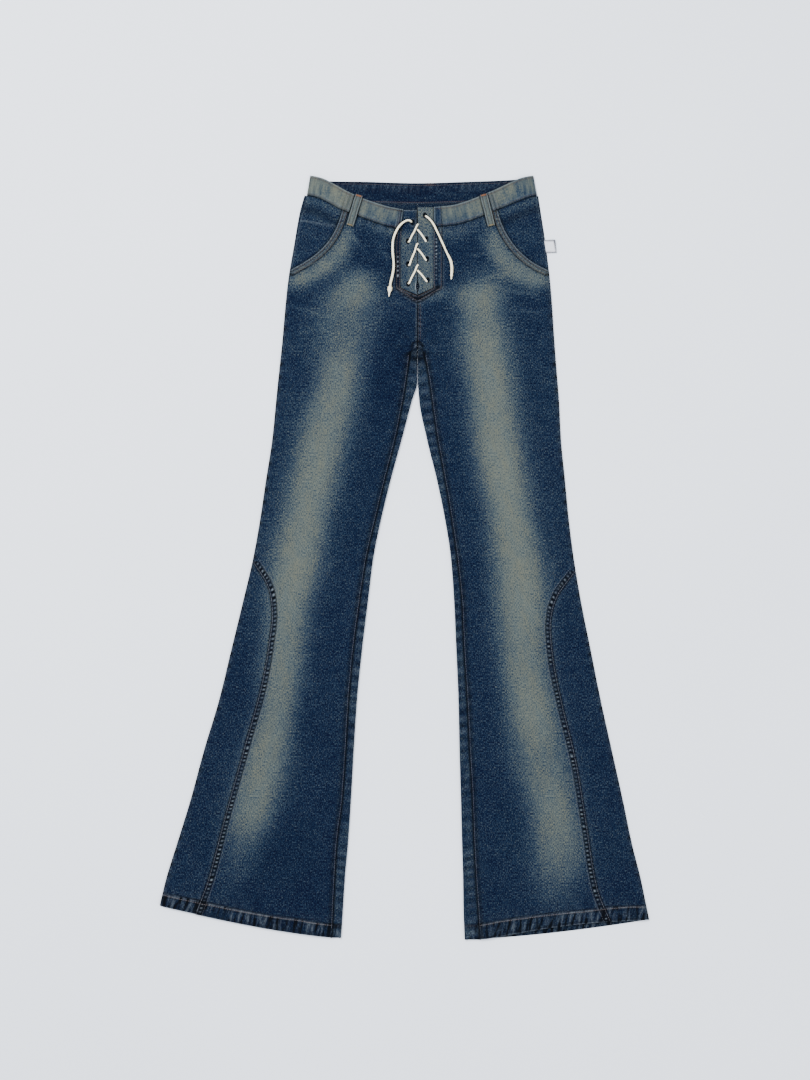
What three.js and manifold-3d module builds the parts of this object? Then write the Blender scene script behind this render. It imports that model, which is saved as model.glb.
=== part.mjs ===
// Flared jeans with a laced front, laid flat on a surface with the front side up.
// Millimetres. +X points to the wearer's left leg, +Y to the waist and +Z up from the surface.
// The origin is the middle of the garment's outline, on the surface that it lies on.

import * as THREE from 'three';
import Module from 'manifold-3d';
import { mergeVertices } from 'three/addons/utils/BufferGeometryUtils.js';

const wasm = await Module();
wasm.setup();

// Cloth, seams and layers
const cloth = 1.2;
const seamGap = 0.3;
const feltRaise = 0.7;        // a felled or hemmed seam stands this much above one layer
const bandThickness = 2.0;    // waistband, two layers pressed flat
const restHeight = 3.3;       // underside of the front above the surface
const edgeHeight = cloth + seamGap;
const sideRoll = 8;           // width over which the front comes down to the side seam
const facingDrop = 0.9;       // the pocket facing lies this much below the front

// Heights and lines that both legs share
const centreX = 18.2;         // centre front and centre back seam
const crotchY = 296;          // front panels part here
const shoulderY = 377.3;      // the lace panel's sides turn in to its point
const pointY = 367.5;         // the lace panel's point
const hemBand = 17;
const fellWidth = 8;          // felled band at the side panel and the pocket
const flyBand = { right: 7.2, left: 12.5 };
const foldLap = 9;            // back cloth taken up by the fold at each leg's inner edge
const waistBackSlant = 4.2;   // the back waistband is this much shorter at each end of its top

// Seat and hip: where the side seam runs, one row for each height
const hipRight = [
  { y: 536, side: -132 },
  { y: 508, side: -137 },
  { y: 470, side: -147 },
  { y: 430, side: -154.5 },
  { y: 375, side: -164.5 },
];
const hipLeft = [
  { y: 536, side: 180.3 },
  { y: 508, side: 185.5 },
  { y: 470, side: 191.5 },
  { y: 430, side: 198 },
  { y: 375, side: 205 },
];

// Legs: side seam, folded inner edge and inseam, one row for each section down the leg
const legRight = [
  { y: 296, side: -172, fold: 18, inseam: 8.5 },
  { y: 245, side: -177.5, fold: 17.6, inseam: 2.2 },
  { y: 220, side: -180, fold: 10.5, inseam: -2 },
  { y: 165, side: -185.5, fold: -4, inseam: -13 },
  { y: 110, side: -194, fold: -19, inseam: -27 },
  { y: 50, side: -203, fold: -33.5, inseam: -41.5 },
  { y: 0, side: -212, fold: -43.5, inseam: -53 },
  { y: -60, side: -226, fold: -51, inseam: -62.5 },
  { y: -130, side: -243, fold: -59.5, inseam: -71.5 },
  { y: -200, side: -260, fold: -66.5, inseam: -78 },
  { y: -270, side: -281, fold: -71, inseam: -82 },
  { y: -340, side: -300, fold: -75, inseam: -87 },
  { y: -400, side: -318.5, fold: -79, inseam: -94.5 },
  { y: -450, side: -334, fold: -83.5, inseam: -97.5 },
  { y: -490, side: -343.5, fold: -86, inseam: -99.5 },
  { y: -536, side: -353, fold: -89, inseam: -101.5 },
];
const legLeft = [
  { y: 296, side: 210.5, fold: 18.4, inseam: 26.3 },
  { y: 245, side: 214.5, fold: 18.9, inseam: 35 },
  { y: 220, side: 216.5, fold: 20.5, inseam: 38.5 },
  { y: 165, side: 219.3, fold: 31.5, inseam: 46.3 },
  { y: 110, side: 224.7, fold: 45, inseam: 56.5 },
  { y: 50, side: 230.6, fold: 57.3, inseam: 66.4 },
  { y: 0, side: 237, fold: 64.8, inseam: 73.5 },
  { y: -60, side: 247, fold: 69.3, inseam: 80 },
  { y: -130, side: 261, fold: 72.5, inseam: 83.2 },
  { y: -200, side: 275, fold: 75.5, inseam: 87.6 },
  { y: -270, side: 290.5, fold: 77, inseam: 91 },
  { y: -340, side: 306, fold: 79, inseam: 95 },
  { y: -400, side: 318.5, fold: 80.5, inseam: 97.3 },
  { y: -450, side: 331, fold: 82, inseam: 99.8 },
  { y: -500, side: 341.4, fold: 82.8, inseam: 103.3 },
  { y: -536, side: 348.9, fold: 84.3, inseam: 105 },
];

// Side panel seam: from where it leaves the side seam, round its shoulder and down to the hem
const panelSeamRight = [
  { y: -5.5, x: -213.2 },
  { y: -22, x: -202 },
  { y: -37, x: -193 },
  { y: -54, x: -187.5 },
  { y: -80, x: -185.4 },
  { y: -118, x: -189.5 },
  { y: -169, x: -198 },
  { y: -265, x: -224 },
  { y: -367, x: -252.5 },
  { y: -450, x: -274.5 },
  { y: -500, x: -293 },
];
const panelSeamLeft = [
  { y: -19, x: 240.2 },
  { y: -37, x: 226 },
  { y: -54, x: 214.5 },
  { y: -73, x: 207.5 },
  { y: -97, x: 204.5 },
  { y: -139, x: 208 },
  { y: -199, x: 219.5 },
  { y: -289, x: 241 },
  { y: -367, x: 254 },
  { y: -461, x: 269.5 },
  { y: -515, x: 291 },
];

// Waistband: from the side seam to the laced opening, the seam edge and the free top edge
const waistRight = [
  { seamX: -136.8, seamY: 507.8, topX: -132.1, topY: 535.3 },
  { seamX: -121, seamY: 503.6, topX: -115.5, topY: 531.3 },
  { seamX: -87, seamY: 486.4, topX: -79, topY: 512.4 },
  { seamX: -64.4, seamY: 478.1, topX: -55.3, topY: 501.9 },
  { seamX: -30, seamY: 465.6, topX: -20.3, topY: 490.9 },
  { seamX: -4.9, seamY: 458.7, topX: -1.8, topY: 487.4 },
];
const waistLeft = [
  { seamX: 185.6, seamY: 507.5, topX: 180.4, topY: 535.3 },
  { seamX: 170.1, seamY: 502.9, topX: 164.5, topY: 531.9 },
  { seamX: 130.1, seamY: 486.8, topX: 121.1, topY: 512.7 },
  { seamX: 90.3, seamY: 471.1, topX: 83.3, topY: 497.8 },
  { seamX: 69.3, seamY: 465.6, topX: 65.1, topY: 493.1 },
  { seamX: 41, seamY: 462.7, topX: 41, topY: 490.9 },
];
const waistBack = [
  { x: -136, seam: 507, top: 534.6 },
  { x: -104, seam: 500, top: 527.5 },
  { x: -60, seam: 497.5, top: 527 },
  { x: 18, seam: 495.5, top: 525 },
  { x: 90, seam: 497.5, top: 527 },
  { x: 150, seam: 500.5, top: 529.5 },
  { x: 184.5, seam: 506.5, top: 534.6 },
];

// Scoop pocket edges, from the waistband to the side seam
const scoopRight = { top: [-87.2, 486], pull: [-98, 440], turn: [-124, 421], side: [-160, 402.5] };
const scoopLeft = { top: [130, 487], pull: [139, 447], turn: [166, 415], side: [201.5, 402.5] };

// Soft creases and swells of the front: middle, length, direction in degrees, width, height
const creases = [
  { x: -125, y: 330, length: 90, turn: 18, width: 9, height: 0.9 },
  { x: -112, y: 300, length: 100, turn: 12, width: 10, height: 0.7 },
  { x: -100, y: 372, length: 80, turn: 26, width: 8, height: 0.7 },
  { x: 155, y: 352, length: 100, turn: -16, width: 10, height: 0.9 },
  { x: 140, y: 318, length: 90, turn: -10, width: 9, height: 0.7 },
  { x: 165, y: 385, length: 70, turn: -28, width: 8, height: 0.5 },
  { x: -25, y: 268, length: 90, turn: 38, width: 8, height: 0.8 },
  { x: 62, y: 280, length: 90, turn: -30, width: 8, height: 0.9 },
  { x: -60, y: 215, length: 110, turn: 62, width: 12, height: 0.5 },
  { x: 95, y: 200, length: 110, turn: -64, width: 12, height: 0.5 },
  { x: -120, y: 60, length: 120, turn: 14, width: 14, height: 0.6 },
  { x: 150, y: 40, length: 120, turn: -12, width: 14, height: 0.6 },
  { x: -140, y: -150, length: 260, turn: 78, width: 22, height: 0.6 },
  { x: 165, y: -170, length: 260, turn: -84, width: 22, height: 0.6 },
  { x: -190, y: -360, length: 240, turn: 76, width: 24, height: 0.8 },
  { x: 195, y: -370, length: 240, turn: -80, width: 24, height: 0.8 },
];

// Belt loops: from the top of the waistband down over its seam
const loopWidth = 10.4;
const loopThickness = 1.4;
const loopRight = { top: [-63.2, 507.5], foot: [-76.6, 464] };
const loopLeft = { top: [110.4, 508.5], foot: [121.8, 463.6] };

// Lacing: eyelets in the lace panel, cord diameter, and the cord's crossings
const laceDiameter = 3.5;
const eyeletRadius = 2.4;
const laceFloor = 6.75;       // height of a cord's middle where it lies on the lace panel
const eyeletRows = [
  { rightX: 8.8, rightY: 470.5, leftX: 29.4, leftY: 479.2 },
  { rightX: 5.6, rightY: 443, leftX: 30.6, leftY: 444.2 },
  { rightX: 5.9, rightY: 411.5, leftX: 31.5, leftY: 417 },
  { rightX: 5.6, rightY: 383.5, leftX: 32, leftY: 387.8 },
];
const crossings = [
  { row: 1, overX: 18.4, overY: 464.5, underX: 19.4, underY: 457.6 },
  { row: 2, overX: 18.2, overY: 437.5, underX: 19.6, underY: 430.6 },
  { row: 3, overX: 18.6, overY: 407.8, underX: 19.6, underY: 400.4 },
];

// Free ends of the lace, hand-laid from the top eyelet to the tip
const laceEndRight = [
  [8.8, 470.6, 6.8], [6.6, 471.6, 7], [2.8, 471.2, 7.3], [-0.8, 469.2, 7.5], [-4.4, 466.4, 7.65],
  [-8.2, 462.0, 7.65], [-11.4, 456.6, 7.65], [-14.2, 450.2, 7.5], [-16.0, 443.6, 7.4], [-16.6, 436.6, 7.4],
  [-16.6, 429.4, 7.4], [-16.0, 421.0, 7.4], [-15.2, 413.0, 7.4], [-15.2, 405.6, 7.4], [-16.2, 398.2, 7.5],
  [-17.8, 391.0, 7.7], [-19.4, 384.6, 7.9], [-20.0, 379.6, 8],
];
const laceEndLeft = [
  [29.4, 478.8, 6.8], [31.6, 476.4, 7.1], [35.0, 473.2, 7.5], [38.4, 469.2, 7.65], [41.6, 464.0, 7.65],
  [44.6, 457.8, 7.65], [47.8, 451.2, 7.65], [51.2, 443.8, 7.65], [54.6, 436.4, 7.6], [58.0, 428.8, 7.2],
  [61.6, 421.6, 6.8], [64.6, 415.0, 6.7], [66.0, 408.0, 6.7], [66.2, 401.0, 6.7], [65.8, 395.4, 6.7],
];

// Label at the left side seam, a bare folded tab
const label = { width: 15, bottom: 427, top: 445, thickness: 1.1 };

// Colours of the finishes
const denimBlue = 0x2b3f5c;
const washedDenim = 0x6f7d7f;
const insideDenim = 0x1f2b42;
const cordWhite = 0xe9e4d8;
const labelWhite = 0xe6e7ea;

const clamp01 = (value) => Math.min(1, Math.max(0, value));
const mix = (a, b, t) => a + (b - a) * t;
const smooth = (t) => {
  const c = clamp01(t);
  return c * c * (3 - 2 * c);
};

// A curve through the rows of a table, smooth and without overshoot between them
function through(rows, key, at = 'y') {
  const sorted = [...rows].sort((a, b) => a[at] - b[at]);
  const s = sorted.map((row) => row[at]);
  const v = sorted.map((row) => row[key]);
  const rise = s.slice(1).map((next, i) => (v[i + 1] - v[i]) / (next - s[i]));
  const tangent = v.map((_, i) => {
    if (i === 0) return rise[0];
    if (i === v.length - 1) return rise[i - 1];
    const before = rise[i - 1];
    const after = rise[i];
    return before * after <= 0 ? 0 : (2 * before * after) / (before + after);
  });
  return (value) => {
    let i = s.findIndex((edge) => edge > value) - 1;
    if (value >= s[s.length - 1]) i = s.length - 2;
    i = Math.max(0, i);
    const span = s[i + 1] - s[i];
    const t = (value - s[i]) / span;
    if (t < 0) return v[i] + tangent[i] * span * t;
    if (t > 1) return v[i + 1] + tangent[i + 1] * span * (t - 1);
    const t2 = t * t;
    const t3 = t2 * t;
    return v[i] * (2 * t3 - 3 * t2 + 1) + v[i + 1] * (3 * t2 - 2 * t3)
      + span * (tangent[i] * (t3 - 2 * t2 + t) + tangent[i + 1] * (t3 - t2));
  };
}

// The pocket edge as x for a height, found on its curve
function scoopEdge(scoop) {
  const corners = [scoop.top, scoop.pull, scoop.turn, scoop.side].map((p) => new THREE.Vector2(...p));
  const curve = new THREE.CubicBezierCurve(...corners);
  return (y) => {
    let high = 0;
    let low = 1;
    for (let i = 0; i < 24; i += 1) {
      const middle = (high + low) / 2;
      if (curve.getPoint(middle).y > y) high = middle;
      else low = middle;
    }
    return curve.getPoint((high + low) / 2).x;
  };
}

// Each side of the garment: which way is outwards, and its own lines
function makeSide(name, outward, hip, leg, panelSeam, waist, scoop) {
  const along = waist.map((row, i) => ({ ...row, at: i / (waist.length - 1) }));
  return {
    name,
    outward,
    sideSeam: through([...hip, ...leg], 'side'),
    fold: through(leg, 'fold'),
    inseam: through(leg, 'inseam'),
    panelSeam: through(panelSeam, 'x'),
    panelTop: panelSeam[0].y,
    panelHem: panelSeam[panelSeam.length - 1].y,
    scoop: scoopEdge(scoop),
    scoopTopX: scoop.top[0],
    scoopLow: scoop.side[1],
    waistSeam: through(along, 'seamY', 'seamX'),
    flyBand: flyBand[name],
    waist: {
      seamX: through(along, 'seamX', 'at'),
      seamY: through(along, 'seamY', 'at'),
      topX: through(along, 'topX', 'at'),
      topY: through(along, 'topY', 'at'),
    },
  };
}

const right = makeSide('right', -1, hipRight, legRight, panelSeamRight, waistRight, scoopRight);
const left = makeSide('left', 1, hipLeft, legLeft, panelSeamLeft, waistLeft, scoopLeft);

// Hems: the right one rises towards the side, and the left front one also lifts off the back one
right.hemBack = (x) => -533 + 45 * clamp01((-89 - x) / 253) ** 1.4;
right.hemFront = right.hemBack;
left.hemBack = (x) => -535.5 + 28 * clamp01((x - 84) / 260) ** 1.5;
left.hemFront = (x) => {
  const across = (x - 84) / 260;
  return left.hemBack(x) + 8.5 * Math.sin(Math.PI * clamp01((across - 0.12) / 0.88));
};

// Opening edge of the front at the lace panel, from the waistband down to its point
right.opening = (y) => (y > 430 ? mix(-5.3, -1.6, smooth((y - 430) / 60)) : -5.3);
left.opening = () => 40.4;
for (const side of [right, left]) {
  side.flyEdge = (y) => {
    const inwards = clamp01((shoulderY - y) / (shoulderY - pointY));
    return mix(side.opening(y), centreX + side.outward * seamGap / 2, inwards);
  };
}

// Height of the front's underside above the surface
function swell(x, y) {
  let height = 0;
  for (const crease of creases) {
    const turn = THREE.MathUtils.degToRad(crease.turn);
    const dx = x - crease.x;
    const dy = y - crease.y;
    const along = (dx * Math.cos(turn) + dy * Math.sin(turn)) / (crease.length / 2);
    const across = (dy * Math.cos(turn) - dx * Math.sin(turn)) / crease.width;
    if (Math.abs(along) < 1) height += crease.height * (1 - along * along) ** 2 * Math.exp(-across * across);
  }
  return height;
}

function underside(side, x, y) {
  const fromSide = side.outward * (side.sideSeam(y) - x);
  return mix(edgeHeight, restHeight + swell(x, y), smooth(fromSide / sideRoll));
}

// A closed shell between two grids of points of the same size
function shell(outer, inner) {
  const count = outer.length;
  const width = outer[0].length;
  const positions = [...outer.flat(2), ...inner.flat(2)];
  const at = (level, r, c) => level * count * width + r * width + c;
  const faces = [];
  const quad = (a, b, c, d) => faces.push(a, b, c, a, c, d);
  for (let r = 0; r < count - 1; r += 1) {
    for (let c = 0; c < width - 1; c += 1) {
      quad(at(0, r, c), at(0, r, c + 1), at(0, r + 1, c + 1), at(0, r + 1, c));
      quad(at(1, r, c), at(1, r + 1, c), at(1, r + 1, c + 1), at(1, r, c + 1));
    }
    quad(at(1, r, 0), at(0, r, 0), at(0, r + 1, 0), at(1, r + 1, 0));
    quad(at(0, r, width - 1), at(1, r, width - 1), at(1, r + 1, width - 1), at(0, r + 1, width - 1));
  }
  for (let c = 0; c < width - 1; c += 1) {
    quad(at(1, 0, c), at(1, 0, c + 1), at(0, 0, c + 1), at(0, 0, c));
    quad(at(0, count - 1, c), at(0, count - 1, c + 1), at(1, count - 1, c + 1), at(1, count - 1, c));
  }
  const geometry = new THREE.BufferGeometry();
  geometry.setAttribute('position', new THREE.Float32BufferAttribute(positions, 3));
  geometry.setIndex(faces);
  return faceOut(geometry);
}

// A closed wall from a grid of rows of [x, y, underside, topside]
function wall(rows) {
  const layer = (level) => rows.map((row) => row.map((p) => [p[0], p[1], p[level]]));
  return shell(layer(3), layer(2));
}

// Turns every face round when the volume comes out negative
function faceOut(geometry) {
  const p = geometry.getAttribute('position');
  const index = geometry.getIndex().array;
  let volume = 0;
  const a = new THREE.Vector3();
  const b = new THREE.Vector3();
  const c = new THREE.Vector3();
  for (let i = 0; i < index.length; i += 3) {
    a.fromBufferAttribute(p, index[i]);
    b.fromBufferAttribute(p, index[i + 1]);
    c.fromBufferAttribute(p, index[i + 2]);
    volume += a.dot(b.cross(c));
  }
  if (volume < 0) {
    for (let i = 0; i < index.length; i += 3) [index[i], index[i + 1]] = [index[i + 1], index[i]];
  }
  geometry.computeVertexNormals();
  return geometry;
}

// Solids for joining and cutting
function toSolid(geometry) {
  const bare = geometry.clone();
  bare.deleteAttribute('normal');
  bare.deleteAttribute('uv');
  const merged = mergeVertices(bare, 1e-4);
  return new wasm.Manifold(new wasm.Mesh({
    numProp: 3,
    vertProperties: new Float32Array(merged.getAttribute('position').array),
    triVerts: new Uint32Array(merged.getIndex().array),
  }));
}

function fromSolid(solid) {
  const mesh = solid.getMesh();
  const geometry = new THREE.BufferGeometry();
  geometry.setAttribute('position', new THREE.Float32BufferAttribute(mesh.vertProperties, 3));
  geometry.setIndex(Array.from(mesh.triVerts));
  geometry.computeVertexNormals();
  return geometry;
}

// A flat layer on the surface, cut to an outline
function flatLayer(outline, bottom, thickness) {
  const shape = new THREE.Shape(outline.map(([x, y]) => new THREE.Vector2(x, y)));
  const geometry = new THREE.ExtrudeGeometry(shape, { depth: thickness, bevelEnabled: false });
  geometry.translate(0, 0, bottom);
  return geometry;
}

// Evenly spaced heights from one end to the other, both included
function steps(from, to, most) {
  const count = Math.ceil(Math.abs(to - from) / most);
  return Array.from({ length: count + 1 }, (_, i) => mix(from, to, i / count));
}

const waistBackXs = steps(waistBack[0].x, waistBack[waistBack.length - 1].x, 18);
const garment = new THREE.Group();

function addPiece(name, geometry, colour, roughness = 0.92) {
  const material = new THREE.MeshStandardMaterial({ color: colour, roughness, metalness: 0 });
  const mesh = new THREE.Mesh(geometry, material);
  mesh.name = name;
  garment.add(mesh);
}

// Heights of the front's rows, at its inner edge and, tilted up, at its outer edge
function frontStations(side) {
  const hemInner = side.hemFront(side.inseam(-534));
  const hemOuter = side.hemFront(side.panelSeam(side.panelHem));
  const topInner = side.waistSeam(side.opening(460)) - seamGap / 2;
  const topOuter = side.waistSeam(side.scoopTopX) - seamGap / 2;
  const inner = [
    hemInner, hemInner + hemBand, hemInner + hemBand + 1,
    ...steps(hemInner + 40, -180, 44), ...steps(-165, -30, 13), ...steps(0, crotchY - 0.4, 37),
    crotchY + 0.6, 330, pointY + 0.2, 372.5, shoulderY, ...steps(396, topInner, 16),
  ];
  return inner.map((y) => {
    const t = clamp01((y - hemInner) / (topInner - hemInner));
    return { inner: y, outer: y + mix(hemOuter - hemInner, topOuter - topInner, t) };
  });
}

// Back: one layer on the surface from waistband to hem, folded over the leg's inner edge to the inseam
function backPanel(side) {
  const half = seamGap / 2;
  const waistSeam = through(waistBack, 'seam', 'x');
  const hemY = (x) => side.hemBack(x);
  const inwards = -side.outward;
  const foldHeight = (y) => underside(side, side.fold(y) - inwards * 3, y) + cloth;

  const outline = [];
  const hemSide = hemY(side.sideSeam(-500));
  const hemFold = hemY(side.fold(-533)) + 0.1;
  for (const y of steps(hemSide, 505, 45)) outline.push([side.sideSeam(y), y]);
  const crotchX = centreX + side.outward * half;
  const seamXs = waistBackXs.filter((x) => (x - centreX) * side.outward > 4);
  if (side.outward > 0) seamXs.reverse();
  for (const x of [...seamXs, crotchX]) outline.push([x, waistSeam(x) - half]);
  outline.push([crotchX, crotchY + half]);
  for (const y of steps(crotchY - 8, hemFold, 35)) outline.push([side.fold(y) - inwards * foldHeight(y) / 2, y]);
  for (const x of steps(side.fold(-533) - inwards * 12, side.sideSeam(hemSide), 45).slice(0, -1)) {
    outline.push([x, hemY(x)]);
  }
  const sheet = toSolid(flatLayer(outline, 0, cloth));

  // the folded edge, its section turned from the floor layer up and over to the inseam
  const arcSteps = 6;
  const outer = [];
  const inner = [];
  const heights = frontStations(side).map((row) => row.inner).filter((y) => y < crotchY - 3);
  heights[0] = hemFold;
  for (const y of [...heights, crotchY - 1]) {
    const height = foldHeight(y);
    const radius = height / 2;
    const edge = side.fold(y);
    const outerRow = [[edge - inwards * foldLap, y, 0]];
    const innerRow = [[edge - inwards * foldLap, y, cloth]];
    for (let i = 0; i <= arcSteps; i += 1) {
      const turn = (i / arcSteps) * Math.PI;
      const reach = Math.sin(turn);
      outerRow.push([edge - inwards * radius * (1 - reach), y, radius * (1 - Math.cos(turn))]);
      const small = radius - cloth;
      innerRow.push([edge - inwards * (radius - small * reach), y, radius - small * Math.cos(turn)]);
    }
    const seamX = side.inseam(y) + inwards * half;
    for (const t of [0.5, 1]) {
      const x = mix(edge - inwards * radius, seamX, t);
      const under = underside(side, x, y);
      outerRow.push([x, y, under + cloth]);
      innerRow.push([x, y, under]);
    }
    outer.push(outerRow);
    inner.push(innerRow);
  }
  const fold = toSolid(shell(outer, inner));
  return fromSolid(sheet.add(fold));
}

// Front: from the inseam, centre seam and lace panel across to the side panel, side seam and pocket
function frontPanel(side) {
  const half = seamGap / 2;
  const out = side.outward;
  const innerX = (y) => {
    if (y > pointY) return side.flyEdge(y) + out * half;
    if (y > crotchY) return centreX + out * half;
    return side.inseam(y) + out * half;
  };
  const outerX = (y) => {
    if (y > side.scoopLow) return side.scoop(y) - out * half;
    if (y > side.panelTop) return side.sideSeam(y);
    return side.panelSeam(y) - out * half;
  };
  const stations = frontStations(side);
  const hemInner = stations[0].inner;
  const topInner = stations[stations.length - 1].inner;
  const rows = stations.map(({ inner: y, outer: outerY }) => {
    const x0 = innerX(y);
    const x1 = outerX(outerY);
    const raised = y < hemInner + hemBand + 0.5;
    const nearFly = y > pointY - 12;
    const felled = outerY < side.panelTop || outerY > side.scoopLow;
    const span = Math.abs(x1 - x0);
    const innerBand = nearFly ? side.flyBand / span : 0.02;
    const outerBand = 1 - fellWidth / span;
    const across = [0, innerBand, innerBand + 1 / span];
    for (const u of [0.17, 0.31, 0.46, 0.6, 0.74, 0.86]) across.push(mix(across[2], outerBand, u));
    across.push(outerBand - 1 / span, outerBand, 1);
    const hemFade = 1 - smooth((y - hemInner) / 180);
    const waistFade = smooth((y - 400) / (topInner - 400));
    return across.map((u, c) => {
      const x = mix(x0, x1, u);
      const hemShape = side.hemFront(x) - mix(side.hemFront(x0), side.hemFront(x1), u);
      const waistShape = side.waistSeam(x) - mix(side.waistSeam(x0), side.waistSeam(x1), u);
      const height = y + (outerY - y) * u + hemShape * hemFade + waistShape * waistFade;
      const band = raised || (nearFly && c < 2) || (felled && c > across.length - 3);
      const under = underside(side, x, height);
      return [x, height, under, under + cloth + (band ? feltRaise : 0)];
    });
  });
  return wall(rows);
}

// Side panel: a flared gusset between its curved seam and the side seam
function sidePanel(side) {
  const out = side.outward;
  const stations = frontStations(side).map((row) => row.outer).filter((y) => y < side.panelTop - 4);
  const hemInner = stations[0];
  const hemOuter = side.hemFront(side.sideSeam(-500));
  const rows = stations.map((y) => {
    const tilt = (hemOuter - hemInner) * (1 - smooth((y - hemInner) / 300));
    const x0 = side.panelSeam(y) + out * seamGap / 2;
    const x1 = side.sideSeam(y + tilt);
    const raised = y < hemInner + hemBand + 0.5;
    return [0, 0.3, 0.6, 0.82, 0.93, 1].map((u) => {
      const x = mix(x0, x1, u);
      const height = y + tilt * u;
      const under = underside(side, x, height);
      return [x, height, under, under + cloth + (raised ? feltRaise : 0)];
    });
  });
  return wall(rows);
}

// Pocket facing: the piece seen inside the scoop, a step below the front
function pocketFacing(side) {
  const out = side.outward;
  const inner = frontStations(side).map((row) => row.outer).filter((y) => y > side.scoopLow + 2);
  const top = inner.length - 1;
  const topOuter = side.waist.seamY(0) - seamGap;
  const rows = inner.map((y0, r) => {
    const t = r / top;
    const y1 = mix(y0, y0 + topOuter - inner[top], t);
    const x0 = side.scoop(y0) + out * seamGap / 2;
    const x1 = side.sideSeam(y1);
    return [0, 0.25, 0.5, 0.75, 0.9, 1].map((u) => {
      const x = mix(x0, x1, u);
      const waistShape = side.waistSeam(x) - mix(side.waistSeam(x0), side.waistSeam(x1), u);
      const y = mix(y0, y1, u) + waistShape * t;
      const under = Math.max(edgeHeight, underside(side, x, y) - facingDrop);
      return [x, y, under, under + cloth];
    });
  });
  return wall(rows);
}

// Front waistband: from the side seam to the laced opening
function waistband(side) {
  const half = seamGap / 2;
  const rows = steps(0, 1, 1 / 16).map((at) => {
    const seamX = side.waist.seamX(at);
    const seamY = side.waist.seamY(at) + half;
    const topX = side.waist.topX(at);
    const topY = side.waist.topY(at);
    return [0, 0.5, 1].map((v) => {
      const x = mix(seamX, topX, v) + (at === 1 ? side.outward * half : 0);
      const y = mix(seamY, topY, v);
      const under = underside(side, x, y);
      return [x, y, under, under + bandThickness];
    });
  });
  return wall(rows);
}

// Back waistband: seen from inside, lying on the surface
function backWaistband() {
  const seam = through(waistBack, 'seam', 'x');
  const top = through(waistBack, 'top', 'x');
  const from = waistBackXs[0];
  const to = waistBackXs[waistBackXs.length - 1];
  const lower = waistBackXs.map((x) => [x, seam(x) + seamGap / 2]);
  const upper = waistBackXs.map((x) => {
    const slanted = mix(from + waistBackSlant, to - waistBackSlant, (x - from) / (to - from));
    return [slanted, top(slanted)];
  });
  return flatLayer([...lower, ...upper.reverse()], 0, cloth);
}

// Lace panel: one half each side of the slit, with its eyelets cut through
function lacePanel(side) {
  const out = side.outward;
  const slit = centreX + out * 0.2;
  const topY = out < 0 ? 486.6 : 490.4;
  const heights = [pointY + 1.2, 372.4, shoulderY, ...steps(390, topY, 16)];
  const rows = heights.map((y) => {
    const edge = side.flyEdge(y) - out * seamGap;
    return [0, 0.34, 0.67, 1].map((u) => {
      const x = mix(slit, edge, u);
      return [x, y + (1 - u) * (y < shoulderY ? 0.4 : 0), restHeight, restHeight + cloth];
    });
  });
  let panel = toSolid(wall(rows));
  for (const eyelet of eyeletRows) {
    const hole = new THREE.CylinderGeometry(eyeletRadius, eyeletRadius, 8, 12);
    hole.rotateX(Math.PI / 2);
    hole.translate(eyelet[`${side.name}X`], eyelet[`${side.name}Y`], restHeight);
    panel = panel.subtract(toSolid(hole));
  }
  return fromSolid(panel);
}

// Belt loop: a doubled strip laid over the waistband and its seam
function beltLoop(side, loop) {
  const [topX, topY] = loop.top;
  const [footX, footY] = loop.foot;
  const length = Math.hypot(footX - topX, footY - topY);
  const acrossX = -(footY - topY) / length;
  const acrossY = (footX - topX) / length;
  const rows = steps(0, 1, 1 / 9).map((t) => {
    const x = mix(topX, footX, t);
    const y = mix(topY, footY, t);
    const onBand = mix(bandThickness, cloth + 0.3, smooth((t - 0.72) / 0.16));
    const lift = underside(side, x, y) + onBand + seamGap + 0.1;
    return [-0.5, 0.5].map((u) => {
      const px = x + acrossX * loopWidth * u;
      const py = y + acrossY * loopWidth * u;
      return [px, py, lift, lift + loopThickness];
    });
  });
  return wall(rows);
}

// A round cord along a hand-laid route
function cord(route, diameter, stepCount) {
  const curve = new THREE.CatmullRomCurve3(route.map((p) => new THREE.Vector3(...p)));
  const section = new THREE.Shape();
  for (let i = 0; i < 8; i += 1) {
    const turn = (i / 8) * Math.PI * 2;
    const x = Math.cos(turn) * diameter / 2;
    const y = Math.sin(turn) * diameter / 2;
    if (i === 0) section.moveTo(x, y);
    else section.lineTo(x, y);
  }
  return new THREE.ExtrudeGeometry(section, { steps: stepCount, extrudePath: curve, bevelEnabled: false });
}

// A lace tip: a turned form on the line that the cord ends with
function laceTip(route, profile) {
  const end = new THREE.Vector3(...route[route.length - 1]);
  const before = new THREE.Vector3(...route[route.length - 2]);
  const direction = end.clone().sub(before).normalize();
  const points = profile.map((row) => new THREE.Vector2(row.radius, row.at));
  const geometry = new THREE.LatheGeometry(points, 10);
  geometry.applyQuaternion(new THREE.Quaternion().setFromUnitVectors(new THREE.Vector3(0, 1, 0), direction));
  geometry.translate(...end.clone().addScaledVector(direction, seamGap).toArray());
  return geometry;
}

const knotProfile = [
  { at: 0, radius: 0 },
  { at: 0, radius: 1.8 },
  { at: 3.2, radius: 3.1 },
  { at: 6.2, radius: 3 },
  { at: 10.5, radius: 1.1 },
  { at: 15.5, radius: 0.9 },
  { at: 15.5, radius: 0 },
];
const tiedProfile = [
  { at: 0, radius: 0 },
  { at: 0, radius: 1.8 },
  { at: 2.4, radius: 1.5 },
  { at: 4, radius: 0.9 },
  { at: 6.5, radius: 1.1 },
  { at: 6.5, radius: 0 },
];

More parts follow.
